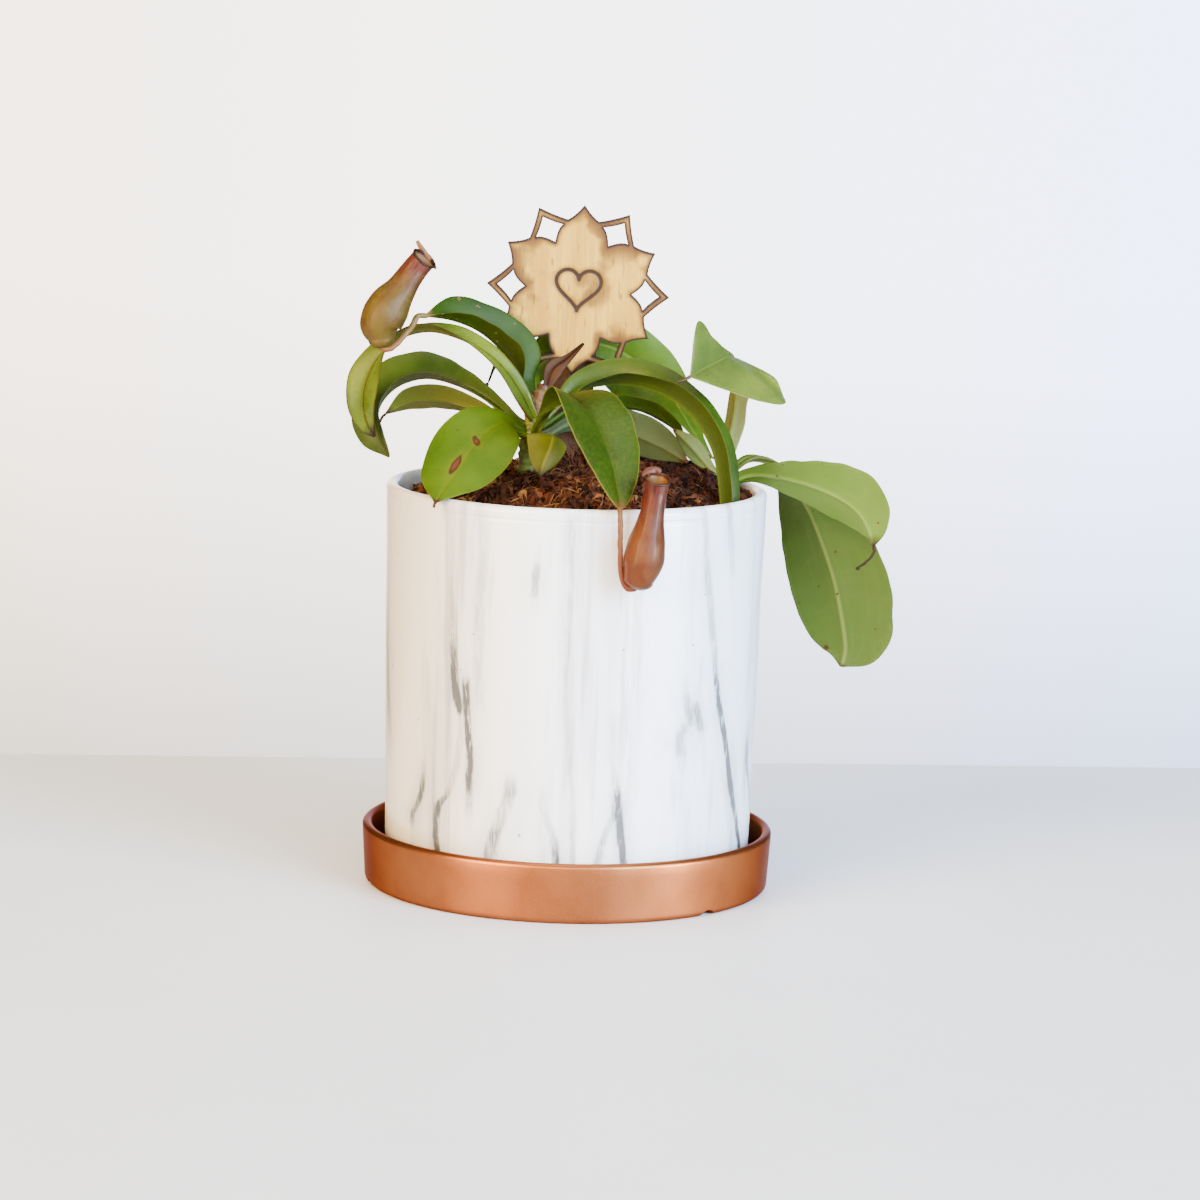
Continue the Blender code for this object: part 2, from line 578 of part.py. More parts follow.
def moss_height(x, y):
    """The moss's height: a mound that falls to the wall, with tufts of seeded waves."""
    reach = np.hypot(x - MOSS_CENTRE[0], y - MOSS_CENTRE[1]) / MOSS_REACH
    mound = MOSS_EDGE + MOSS_RISE * np.clip(1 - reach**2.4, 0, 1)
    draw = np.random.default_rng(MOSS_SEED)
    tufts = np.zeros_like(x)
    for _ in range(MOSS_WAVES):
        angle, phase = draw.uniform(0, 2 * np.pi, 2)
        pitch = draw.uniform(*MOSS_PITCH)
        wave = (x * np.cos(angle) + y * np.sin(angle)) * 2 * np.pi / pitch
        tufts += np.sin(wave + phase)
    return mound + MOSS_TUFT * tufts


def build_moss():
    """The moss that fills the pot, with plain holes for the stems and a slot for the stake."""
    bottom = SAUCER_FLOOR + POT_FLOOR + 2 * GAP
    turn = np.linspace(0, 2 * np.pi, MOSS_STEPS, endpoint=False)
    share = np.linspace(0, 1, MOSS_RINGS + 1)[1:] ** 0.8
    edge = pot_inner(MOSS_EDGE) - MOSS_SIDE_GAP
    radius = share * edge
    x = radius[:, None] * np.cos(turn)[None]
    y = radius[:, None] * np.sin(turn)[None]
    top = np.stack([x, y, moss_height(x, y)], -1)[::-1]
    foot = []
    for inset, z in ((MOSS_SIDE_GAP, bottom + POT_WALL), (POT_WALL, bottom)):
        r = pot_inner(z) - inset
        foot.append(np.stack([r * np.cos(turn), r * np.sin(turn), np.full(MOSS_STEPS, z)], -1))
    rings = np.concatenate([np.array(foot)[::-1], top])
    count = len(rings)
    centre = np.array([0.0, 0.0, float(moss_height(np.zeros(1), np.zeros(1))[0])])
    points = np.vstack([rings.reshape(-1, 3), [0, 0, bottom], centre])
    first, last = np.arange(MOSS_STEPS), np.arange(MOSS_STEPS) + (count - 1) * MOSS_STEPS
    faces = np.vstack([
        ring_faces(count, MOSS_STEPS),
        fan(first[::-1], count * MOSS_STEPS),
        fan(last, count * MOSS_STEPS + 1),
    ])
    finish = material("moss_dry", (0.16, 0.07, 0.035), 0.9)
    moss = add_closed("growing_moss", points, faces, finish)
    for stem in STEMS:
        cut(moss, hole_for(stem))
    cut(moss, slot_for_stake())
    return moss


def hole_for(stem):
    """A round cutter along the part of a stem that stands in the moss."""
    axis = [np.array(stem.axis[0]) - np.array([0, 0, GAP])]
    axis += [np.array(point) for point in stem.axis[1:]]
    radius = [each + GAP + HOLE_EXTRA for each in stem.radius]
    points, faces = tube_solid(axis, radius, STEM_RINGS, HOLE_SIDES)
    return closed_cutter("hole_" + stem.name, points, faces.tolist())


def stake_outline(extra):
    """The stake's outline in X and Z: straight sides, a square top and a blunt pointed foot."""
    half = STAKE_WIDTH / 2 + extra
    return [
        (-half, STAKE_TOP),
        (half, STAKE_TOP),
        (half, STAKE_FOOT + STAKE_POINT),
        (STAKE_BLUNT + extra, STAKE_FOOT - extra),
        (-STAKE_BLUNT - extra, STAKE_FOOT - extra),
        (-half, STAKE_FOOT + STAKE_POINT),
    ]


def leaned(points):
    """X and Z points turned by the plaque's lean round its centre."""
    angle = -np.radians(PLAQUE_LEAN)
    cx, cz = PLAQUE_CENTRE
    made = []
    for x, z in points:
        made.append((
            cx + x * np.cos(angle) - (z - cz) * np.sin(angle),
            cz + x * np.sin(angle) + (z - cz) * np.cos(angle),
        ))
    return made


def extrude_outline(outline, front, back):
    """A prism between two depths of Y."""
    count = len(outline)
    points = [(x, front, z) for x, z in outline] + [(x, back, z) for x, z in outline]
    faces = [[k, (k + 1) % count, count + (k + 1) % count, count + k] for k in range(count)]
    faces += [list(range(count))[::-1], [count + k for k in range(count)]]
    return points, faces


def slot_for_stake():
    """The cutter for the stake's slot in the moss."""
    front = PLAQUE_FRONT + PLAQUE_THICK + GAP
    outline = leaned(stake_outline(GAP))
    points, faces = extrude_outline(outline, front - GAP, front + STAKE_THICK + GAP)
    return closed_cutter("slot_stake", points, faces)


def build_stake():
    """The flat stake behind the plaque."""
    front = PLAQUE_FRONT + PLAQUE_THICK + GAP
    points, faces = extrude_outline(leaned(stake_outline(0)), front, front + STAKE_THICK)
    made = closed_cutter("plaque_stake", points, faces)
    made.hide_render = False
    made.display_type = "TEXTURED"
    made.data.materials.append(material("stake_wood", (0.62, 0.42, 0.24), 0.6))
    return made


def polar(radius, angle):
    """A plaque point by its distance from the centre and its angle in degrees."""
    return np.array([radius * np.cos(np.radians(angle)), radius * np.sin(np.radians(angle))])


def bowed(start, end, bow, count):
    """Points from start towards end on a line bowed out from the centre, without the end."""
    share = np.linspace(0, 1, count, endpoint=False)[:, None]
    line = start * (1 - share) + end * share
    out = unit(start + end)
    return line + out * bow * 4 * share * (1 - share)


def plaque_loops():
    """The plaque's outer outline and its six windows."""
    outline = []
    windows = []
    for petal in range(6):
        middle = 60 * petal + 90
        tip, opened = polar(PETAL_TIP, middle), polar(OPEN_TIP, middle + 30)
        near, far = polar(JOIN_R, middle + JOIN_ANGLE), polar(JOIN_R, middle + 60 - JOIN_ANGLE)
        following = polar(PETAL_TIP, middle + 60)
        outline += [bowed(tip, near, -PETAL_BOW, 3), bowed(near, opened, -OPEN_BOW, 2)]
        outline += [bowed(opened, far, -OPEN_BOW, 2), bowed(far, following, -PETAL_BOW, 3)]
        out = polar(WINDOW_OUT, middle + 30)
        valley = polar(VALLEY_R, middle + 30)
        low = polar(WINDOW_SIDE_R, middle + 30 - WINDOW_SIDE_ANGLE)
        high = polar(WINDOW_SIDE_R, middle + 30 + WINDOW_SIDE_ANGLE)
        sides = [bowed(out, high, -OPEN_BOW, 2), bowed(high, valley, WINDOW_BOW, 4)]
        sides += [bowed(valley, low, WINDOW_BOW, 4), bowed(low, out, -OPEN_BOW, 2)]
        windows.append(np.vstack(sides))
    return [np.vstack(outline), *windows]


def build_plaque():
    """The plaque: a flat curve with six windows, extruded to its thickness and made a mesh."""
    curve = bpy.data.curves.new("plaque", "CURVE")
    curve.dimensions = "2D"
    curve.fill_mode = "BOTH"
    curve.extrude = PLAQUE_THICK / 2 * MM
    for loop in plaque_loops():
        spline = curve.splines.new("POLY")
        spline.points.add(len(loop) - 1)
        spline.use_cyclic_u = True
        for point, (x, y) in zip(spline.points, loop * MM):
            point.co = (x, y, 0, 1)
    made = bpy.data.objects.new("plaque", curve)
    made.location = Vector((PLAQUE_CENTRE[0], PLAQUE_FRONT + PLAQUE_THICK / 2, PLAQUE_CENTRE[1])) * MM
    made.rotation_euler = (np.radians(90), np.radians(PLAQUE_LEAN), 0)
    curve.materials.append(material("plaque_wood", (0.72, 0.52, 0.32), 0.6))
    bpy.context.collection.objects.link(made)
    return made


def build_stem(stem, colour):
    """A stem as a closed tube."""
    points, faces = tube_solid(stem.axis, stem.radius, STEM_RINGS, STEM_SIDES)
    return add_closed(stem.name, points, faces, material(stem.name + "_skin", colour, 0.5))


def build_leaf(leaf):
    """A leaf as a thin closed blade."""
    points, faces = sheet_solid(*leaf_grid(leaf))
    return add_closed(leaf.name, points, faces, material(leaf.name + "_skin", leaf.colour, 0.4))


def pitcher_cup(pitcher):
    """The pitcher's wall: an outer skin up to the mouth and an inner one back down, both with round bottoms."""
    sides = PITCHER_SIDES
    places = np.linspace(0, 1, PITCHER_RINGS) ** 0.8
    outer = tube_rings(pitcher.axis, pitcher.radius, places, sides, pitcher.mouth_tilt)
    places_in = np.linspace(PITCHER_FLOOR, 1, PITCHER_RINGS - 2)
    radius = [max(each - PITCHER_WALL, PITCHER_WALL) for each in pitcher.radius]
    inner = tube_rings(pitcher.axis, radius, places_in, sides, pitcher.mouth_tilt)[::-1]
    skins = np.concatenate([outer, inner])
    count = len(skins)
    bottom = outer[0].mean(0) - unit(outer[1].mean(0) - outer[0].mean(0)) * PITCHER_END
    floor = inner[-1].mean(0)
    points = np.vstack([skins.reshape(-1, 3), bottom, floor])
    first, last = np.arange(sides), np.arange(sides) + (count - 1) * sides
    faces = np.vstack([
        ring_faces(count, sides),
        fan(first[::-1], count * sides),
        fan(last, count * sides + 1),
    ])
    return points, outward(points, faces)


def pitcher_lid(pitcher):
    """The shrivelled lid: a small thick strip rooted in the wall at the back of the mouth."""
    places = np.linspace(0, 1, 5)
    mouth = tube_rings(pitcher.axis, pitcher.radius, np.linspace(0, 1, 9), 24, pitcher.mouth_tilt)[-1]
    back = mouth[mouth[:, 1].argmax()]
    axis_end = mouth.mean(0)
    root = back + unit(axis_end - back) * PITCHER_WALL / 2 - np.array([0, 0, LID_ROOT])
    middle = root + curve_through(pitcher.lid, places)
    along = unit(np.gradient(middle, axis=0))
    side = unit(np.cross(along, np.array([0.2, 1.0, 0.1])))
    half = curve_through(pitcher.lid_width, places)
    share = np.array([-1.0, 0.0, 1.0])
    grid = middle[:, None] + side[:, None] * (half * share[None])[..., None]
    points, faces = sheet_solid(grid, np.full(grid.shape[:2], LID_THICK))
    return points, outward(points, faces)


def build_pitcher(pitcher):
    """The pitcher: its hollow cup with its lid joined on."""
    finish = material(pitcher.name + "_skin", (0.42, 0.16, 0.08), 0.35)
    cup = add_object(pitcher.name, *pitcher_cup(pitcher), finish)
    points, faces = pitcher_lid(pitcher)
    lid = closed_cutter(pitcher.name + "_lid", points, faces.tolist())
    boolean = cup.modifiers.new("join_lid", "BOOLEAN")
    boolean.operation = "UNION"
    boolean.object = lid
    boolean.solver = "EXACT"
    return cup


def build_tendril(name, axis, radius):
    """A tendril as a thin closed tube."""
    points, faces = tube_solid(axis, (radius,) * len(axis), TENDRIL_RINGS, TENDRIL_SIDES)
    return add_closed(name, points, faces, material(name + "_skin", (0.45, 0.20, 0.10), 0.45))


def main():
    """Builds every piece."""
    clear_scene()
    build_saucer()
    build_pot()
    build_moss()
    for stem in STEMS:
        build_stem(stem, GREEN)
    for leaf in LEAVES:
        build_leaf(leaf)
    for tendril in TENDRILS:
        build_tendril(*tendril)
    for pitcher in PITCHERS:
        build_pitcher(pitcher)
    build_plaque()
    build_stake()


main()
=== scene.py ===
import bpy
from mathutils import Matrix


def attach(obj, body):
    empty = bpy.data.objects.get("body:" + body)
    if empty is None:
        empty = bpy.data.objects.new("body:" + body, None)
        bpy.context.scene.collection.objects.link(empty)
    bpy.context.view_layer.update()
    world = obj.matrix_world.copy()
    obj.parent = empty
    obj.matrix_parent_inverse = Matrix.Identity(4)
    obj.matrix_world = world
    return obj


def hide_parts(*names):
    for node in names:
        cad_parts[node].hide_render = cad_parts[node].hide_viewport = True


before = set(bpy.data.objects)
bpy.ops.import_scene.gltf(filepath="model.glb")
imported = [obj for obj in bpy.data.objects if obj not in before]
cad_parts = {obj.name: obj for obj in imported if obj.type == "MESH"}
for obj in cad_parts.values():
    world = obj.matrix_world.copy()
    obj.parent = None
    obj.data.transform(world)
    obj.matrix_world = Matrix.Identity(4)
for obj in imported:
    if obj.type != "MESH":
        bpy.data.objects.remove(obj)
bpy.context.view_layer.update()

import logging
import math
from dataclasses import dataclass, field
from enum import Enum

import bpy
import numpy as np
from mathutils import Matrix, Vector
from mathutils.geometry import delaunay_2d_cdt

LOG = logging.getLogger("pitcher_plant")
MM = 0.001
BODY = "root"
LIGHT_LEVEL = 3.9
Colour = tuple[float, float, float]
Socket = bpy.types.NodeSocket


def seen(red: int, green: int, blue: int) -> Colour:
    """A colour as it looks in the bright studio light, from 0 to 255, as the surface's own linear colour."""
    linear = [((c / 255 + 0.055) / 1.055) ** 2.4 if c > 10 else c / 255 / 12.92 for c in (red, green, blue)]
    return tuple(each / LIGHT_LEVEL for each in linear)


# Sizes shared with the solids, in millimetres
POT_RIM_R = 63.5
POT_FOOT_R = 61.0
POT_TOP = 134.6
POT_BOTTOM = 4.3
POT_LIP = 2.0
POT_WALL = 4.0
SAUCER_R = 68.8
SAUCER_FOOT_R = 67.8
SAUCER_TOP = 20.0
SAUCER_LIP = 1.6
MOSS_EDGE = 127.5
MOSS_RISE = 12.5
MOSS_CENTRE = (8.0, 12.0)
MOSS_REACH = 55.0


def unit(vectors: np.ndarray) -> np.ndarray:
    """Vectors at length one."""
    return vectors / np.maximum(np.linalg.norm(vectors, axis=-1, keepdims=True), 1e-9)


def smooth(low: float, high: float, values: np.ndarray) -> np.ndarray:
    """A smooth step from 0 at low to 1 at high: 3t^2 - 2t^3."""
    t = np.clip((values - low) / (high - low), 0.0, 1.0)
    return t * t * (3.0 - 2.0 * t)


def full_turn(steps: int) -> np.ndarray:
    """Angles in radians, evenly spread round a full turn."""
    return np.linspace(0, 2 * np.pi, steps, endpoint=False)


def circles(turn: np.ndarray, first: np.ndarray, second: np.ndarray) -> np.ndarray:
    """A unit circle, first cos a + second sin a, for each row of the two side directions."""
    return np.cos(turn)[None, :, None] * first[:, None] + np.sin(turn)[None, :, None] * second[:, None]


def revolved(profile: np.ndarray, steps: int) -> np.ndarray:
    """Rings of a profile of radius and height turned round the Z axis: x = r cos a, y = r sin a."""
    turn = full_turn(steps)
    x, y = profile[:, :1] * np.cos(turn), profile[:, :1] * np.sin(turn)
    return np.stack([x, y, np.broadcast_to(profile[:, 1:], x.shape)], -1)


def curve_through(values: tuple, places: np.ndarray) -> np.ndarray:
    """The smooth curve (Catmull-Rom) through evenly spread values.

    Args:
        values: the values or points that the curve goes through.
        places: where to read it, from 0 to 1.

    Returns:
        One row for each place.
    """
    given = np.asarray(values, float).reshape(len(values), -1)
    count = len(given)
    ends = np.vstack([2 * given[0] - given[1], given, 2 * given[-1] - given[-2]])
    where = np.clip(places, 0, 1) * (count - 1)
    start = np.minimum(where.astype(int), count - 2)
    t = (where - start)[:, None]
    a, b, c, d = ends[start], ends[start + 1], ends[start + 2], ends[start + 3]
    return 0.5 * (2 * b + (c - a) * t + (2 * a - 5 * b + 4 * c - d) * t**2 + (3 * b - a - 3 * c + d) * t**3)


def even_places(points: np.ndarray, count: int) -> tuple[np.ndarray, float]:
    """Places that divide a curve into equal lengths.

    Args:
        points: the points that the curve goes through.
        count: how many places.

    Returns:
        The places from 0 to 1, and the curve's length.
    """
    fine = np.linspace(0, 1, 400)
    steps = np.linalg.norm(np.diff(curve_through(points, fine), axis=0), axis=1)
    run = np.concatenate([[0], np.cumsum(steps)])
    return np.interp(np.linspace(0, run[-1], count), run, fine), float(run[-1])


def soft_noise(points: np.ndarray, pitch: float, seed: int, waves: int = 14) -> np.ndarray:
    """Seeded smooth noise from about -1 to 1: a mean of plane waves in random directions.

    Args:
        points: places, with the coordinates on the last axis.
        pitch: the mean distance between crests.
        seed: the seed of the draw.
        waves: how many waves are added.

    Returns:
        One value for each place.
    """
    draw = np.random.default_rng(seed)
    size = points.shape[-1]
    ways = unit(draw.normal(size=(waves, size))) * (2 * np.pi / (pitch * draw.uniform(0.6, 1.6, (waves, 1))))
    phase = draw.uniform(0, 2 * np.pi, waves)
    return np.sin(points @ ways.T + phase).sum(-1) / math.sqrt(waves / 2)


# Meshes


@dataclass
class Surface:
    """A mesh in millimetres with the values that its material reads at each point."""

    points: np.ndarray
    quads: np.ndarray
    tris: np.ndarray
    marks: dict[str, np.ndarray] = field(default_factory=dict)

    def volume(self) -> float:
        """The signed volume that the faces enclose."""
        halves = [self.tris]
        if len(self.quads):
            halves += [self.quads[:, [0, 1, 2]], self.quads[:, [0, 2, 3]]]
        corner = self.points[np.vstack([h for h in halves if len(h)])]
        return float(np.einsum("ij,ij->i", corner[:, 0], np.cross(corner[:, 1], corner[:, 2])).sum())

    def outward(self) -> "Surface":
        """The same surface with its faces pointing out."""
        if self.volume() < 0:
            self.quads = self.quads[:, ::-1]
            self.tris = self.tris[:, ::-1]
        return self

    def faces(self) -> list[list[int]]:
        """Every face as its point numbers."""
        return self.quads.tolist() + self.tris.tolist()


def joined(surfaces: list[Surface]) -> Surface:
    """Several surfaces as one, with every mark that any of them has.

    Args:
        surfaces: the surfaces, each already pointing out.

    Returns:
        One surface.
    """
    names = sorted({name for each in surfaces for name in each.marks})
    starts = np.cumsum([0] + [len(each.points) for each in surfaces[:-1]])
    marks = {}
    for name in names:
        marks[name] = np.concatenate([each.marks.get(name, np.zeros(len(each.points))) for each in surfaces])
    return Surface(
        np.vstack([each.points for each in surfaces]),
        np.vstack([each.quads + s for each, s in zip(surfaces, starts)]),
        np.vstack([each.tris + s for each, s in zip(surfaces, starts)]),
        marks,
    )


def walls_between(index: np.ndarray) -> np.ndarray:
    """Quads between each closed ring of point numbers and the next."""
    after = np.roll(index, -1, axis=-1)
    corners = [index[..., :-1, :], after[..., :-1, :], after[..., 1:, :], index[..., 1:, :]]
    return np.stack(corners, -1).reshape(-1, 4)


def skin(rings: np.ndarray, marks: dict[str, np.ndarray]) -> Surface:
    """A closed surface through a row of closed rings, with a fan to a centre point at both ends.

    Args:
        rings: points as ring, place round the ring, coordinate.
        marks: values as ring, place round the ring.

    Returns:
        The surface, pointing out.
    """
    count, sides = rings.shape[:2]
    index = np.arange(count * sides).reshape(count, sides)
    first, last = (np.full(sides, count * sides + end) for end in (0, 1))
    tris = np.vstack([
        np.stack([np.roll(index[0], -1), index[0], first], -1),
        np.stack([index[-1], np.roll(index[-1], -1), last], -1),
    ])
    points = np.vstack([rings.reshape(-1, 3), rings[0].mean(0), rings[-1].mean(0)])
    values = {}
    for name, value in marks.items():
        full = np.broadcast_to(value, (count, sides))
        values[name] = np.concatenate([full.ravel(), [full[0].mean(), full[-1].mean()]])
    return Surface(points, walls_between(index), tris, values).outward()


def lathe(profile: np.ndarray, steps: int, marks: dict[str, np.ndarray]) -> Surface:
    """A closed profile turned round the Z axis.

    Args:
        profile: points of radius and height, going round a closed wall.
        steps: how many steps round the axis.
        marks: values along the profile.

    Returns:
        The surface, pointing out.
    """
    index = np.arange(len(profile) * steps).reshape(len(profile), steps)
    quads = walls_between(np.vstack([index, index[:1]]))
    values = {name: np.repeat(value, steps) for name, value in marks.items()}
    points = revolved(profile, steps).reshape(-1, 3)
    return Surface(points, quads, np.zeros((0, 3), int), values).outward()


def sides_of(along: np.ndarray, hint: tuple[float, float, float]) -> tuple[np.ndarray, np.ndarray]:
    """Two directions square to a path and to each other, the first also square to a hint."""
    first = unit(np.cross(along, np.array(hint, float)))
    return first, np.cross(along, first)


def tube_rings(axis: tuple, places: np.ndarray, turn: np.ndarray) -> tuple[np.ndarray, np.ndarray]:
    """The middle points of a path and a unit circle square to it at each.

    Args:
        axis: the path's points.
        places: where to read it, from 0 to 1.
        turn: the angles round the circle.

    Returns:
        The middle points, with an axis for the ring, and the circles.
    """
    middle = curve_through(axis, places)
    first, second = sides_of(unit(np.gradient(middle, axis=0)), (0.1, 1.0, 0.05))
    return middle[:, None], circles(turn, first, second)


def tube(axis: tuple, radius: tuple, rings: int, sides: int, bumps: float, seed: int) -> Surface:
    """A closed tube along a path, its radius waved by noise.

    Args:
        axis: the path's points.
        radius: the radii that are evenly spread along it.
        rings: rings along the path.
        sides: points round a ring.
        bumps: the share of the radius that the noise adds.
        seed: the noise's seed.

    Returns:
        The surface with marks "along" and "turn".
    """
    places = even_places(np.asarray(axis, float), rings)[0]
    turn = full_turn(sides)
    middle, ring = tube_rings(axis, places, turn)
    size = curve_through(radius, places)
    points = middle + ring * size[:, None]
    points = points + ring * (size * bumps)[:, None] * soft_noise(points, 2.6, seed)[..., None]
    return skin(points, {"along": np.linspace(0, 1, rings)[:, None], "turn": turn[None] / (2 * np.pi)})


def new_mesh(name: str, points: list, faces: list) -> bpy.types.Mesh:
    """A mesh of points and faces."""
    mesh = bpy.data.meshes.new(name)
    mesh.from_pydata(points, [], faces)
    return mesh


def new_object(name: str, data: bpy.types.ID) -> bpy.types.Object:
    """An object of the scene that holds a mesh, a light or a camera."""
    made = bpy.data.objects.new(name, data)
    bpy.context.scene.collection.objects.link(made)
    return made


def add_piece(name: str, surface: Surface, finish: bpy.types.Material,
              nodes: tuple[str, ...] = (), sharp: float = 60.0) -> bpy.types.Object:
    """Makes a surface an object of the scene, riding on the plant's one body.

    Args:
        name: the object's name.
        surface: its mesh in millimetres.
        finish: its material.
        nodes: the solids that it replaces.
        sharp: the angle in degrees from which an edge stays sharp.

    Returns:
        The object.
    """
    faces = surface.faces()
    mesh = new_mesh(name, (surface.points * MM).tolist(), faces)
    for mark, values in surface.marks.items():
        mesh.attributes.new(mark, "FLOAT", "POINT").data.foreach_set("value", np.asarray(values, np.float32))
    mesh.shade_smooth()
    mesh.set_sharp_from_angle(angle=math.radians(sharp))
    mesh.materials.append(finish)
    made = new_object(name, mesh)
    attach(made, BODY)
    if nodes:
        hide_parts(*nodes)
    LOG.info("%s: %d faces", name, len(faces))
    return made


# Materials


class Graph:
    """Short ways to add and link shader nodes in one tree."""

    def __init__(self, tree: bpy.types.NodeTree) -> None:
        """Keeps the tree that the nodes go into."""
        self.tree = tree

    def add(self, kind: str, **settings: object) -> bpy.types.Node:
        """Adds a node of a kind and sets its properties."""
        node = self.tree.nodes.new(kind)
        for name, value in settings.items():
            setattr(node, name, value)
        return node

    def put(self, socket: Socket, value: object) -> None:
        """Links a socket to another, or sets its value."""
        if isinstance(value, bpy.types.NodeSocket):
            self.tree.links.new(value, socket)
        elif socket.type == "RGBA" and len(value) == 3:
            socket.default_value = (*value, 1.0)
        else:
            socket.default_value = value

    def math(self, operation: str, a: object, b: object = 0.0, clamp: bool = False) -> Socket:
        """A Math node's result."""
        node = self.add("ShaderNodeMath", operation=operation, use_clamp=clamp)
        self.put(node.inputs[0], a)
        self.put(node.inputs[1], b)
        return node.outputs[0]

    def times(self, a: object, b: object) -> Socket:
        """One value times another."""
        return self.math("MULTIPLY", a, b)

    def plus(self, a: object, b: object) -> Socket:
        """The sum of two values."""
        return self.math("ADD", a, b)

    def minus(self, a: object, b: object) -> Socket:
        """One value less another."""
        return self.math("SUBTRACT", a, b)

    def swing(self, value: Socket, width: float) -> Socket:
        """A value from 0 to 1 as a swing round 0: (value - 0.5) width."""
        return self.times(self.minus(value, 0.5), width)

    def mix(self, share: object, a: object, b: object, blend: str = "MIX") -> Socket:
        """A colour between two by a share, or blended another way."""
        node = self.add("ShaderNodeMix", data_type="RGBA", blend_type=blend)
        self.put(node.inputs["Factor"], share)
        self.put(node.inputs[6], a)
        self.put(node.inputs[7], b)
        return node.outputs[2]

    def span(self, value: object, low: object, high: object, start: object = 0.0,
             end: object = 1.0) -> Socket:
        """A value mapped smoothly from low..high to start..end."""
        node = self.add("ShaderNodeMapRange", interpolation_type="SMOOTHSTEP")
        for socket, given in zip(node.inputs[:5], (value, low, high, start, end)):
            self.put(socket, given)
        return node.outputs[0]

    def noise(self, scale: object, detail: float = 3.0, rough: float = 0.55, vector: Socket | None = None,
              warp: float = 0.0) -> Socket:
        """The value of a noise texture."""
        node = self.add("ShaderNodeTexNoise")
        self.put(node.inputs["Scale"], scale)
        node.inputs["Detail"].default_value = detail
        node.inputs["Roughness"].default_value = rough
        node.inputs["Distortion"].default_value = warp
        self.put(node.inputs["Vector"], vector or self.place())
        return node.outputs["Fac"]

    def place(self) -> Socket:
        """The object's own coordinates, in metres."""
        return self.add("ShaderNodeTexCoord").outputs["Object"]

    def apart(self) -> tuple[Socket, ...]:
        """The object's own x, y and z, in metres."""
        node = self.add("ShaderNodeSeparateXYZ")
        self.put(node.inputs[0], self.place())
        return tuple(node.outputs)

    def stretched(self, x: float, y: float, z: float) -> Socket:
        """The object's own coordinates, scaled apart on each axis."""
        node = self.add("ShaderNodeMapping")
        self.put(node.inputs["Vector"], self.place())
        node.inputs["Scale"].default_value = (x, y, z)
        return node.outputs[0]

    def joined(self, x: object, y: object, z: object = 0.0) -> Socket:
        """A vector from three values."""
        node = self.add("ShaderNodeCombineXYZ")
        for socket, given in zip(node.inputs, (x, y, z)):
            self.put(socket, given)
        return node.outputs[0]

    def mark(self, name: str) -> Socket:
        """A value that the mesh holds at each point."""
        return self.add("ShaderNodeAttribute", attribute_name=name).outputs["Fac"]

    def ramp(self, share: object, stops: tuple[tuple[float, Colour], ...]) -> Socket:
        """A colour ramp through the stops."""
        node = self.add("ShaderNodeValToRGB")
        self.put(node.inputs[0], share)
        marks = node.color_ramp.elements
        while len(marks) < len(stops):
            marks.new(0.5)
        for each, (at, colour) in zip(marks, stops):
            each.position = at
            each.color = (*colour, 1.0)
        return node.outputs[0]

    def bump(self, height: Socket, strength: float, distance_mm: float) -> Socket:
        """A normal from a height."""
        node = self.add("ShaderNodeBump")
        node.inputs["Strength"].default_value = strength
        node.inputs["Distance"].default_value = distance_mm * MM
        self.put(node.inputs["Height"], height)
        return node.outputs[0]

    def curve(self, value: Socket, points: list[tuple[float, float]]) -> Socket:
        """A value read from a smooth curve through the points, level beyond its ends."""
        node = self.add("ShaderNodeFloatCurve")
        marks = node.mapping.curves[0].points
        while len(marks) < len(points):
            marks.new(0.5, 0.5)
        for each, at in zip(marks, points):
            each.location = at
            each.handle_type = "AUTO_CLAMPED"
        node.mapping.extend = "HORIZONTAL"
        node.mapping.update()
        self.put(node.inputs["Value"], value)
        return node.outputs[0]

    def effect(self, tree: bpy.types.NodeTree, **values: object) -> bpy.types.NodeOutputs:
        """The outputs of a shared effect that is given values by input name."""
        node = self.add("ShaderNodeGroup", node_tree=tree)
        for key, value in values.items():
            self.put(node.inputs[key], value)
        return node.outputs


class Finish(Graph):
    """A new material's graph, which ends in its Principled shader."""

    def __init__(self, name: str, **values: object) -> None:
        """Makes the material and sets fixed values on the shader's own sockets.

        Args:
            name: the material's name.
            values: fixed values by input name, with underscores for spaces.
        """
        self.material = bpy.data.materials.new(name)
        self.material.use_nodes = True
        super().__init__(self.material.node_tree)
        self.done(**values)

    def done(self, **values: object) -> bpy.types.Material:
        """Sets or links the shader's inputs by name, with underscores for spaces.

        Returns:
            The material.
        """
        shader = self.tree.nodes["Principled BSDF"]
        for key, value in values.items():
            self.put(shader.inputs[key.replace("_", " ")], value)
        return self.material


class SocketKind(Enum):
    """The kinds of socket that a shared effect has."""

    NUMBER = "NodeSocketFloat"
    COLOUR = "NodeSocketColor"


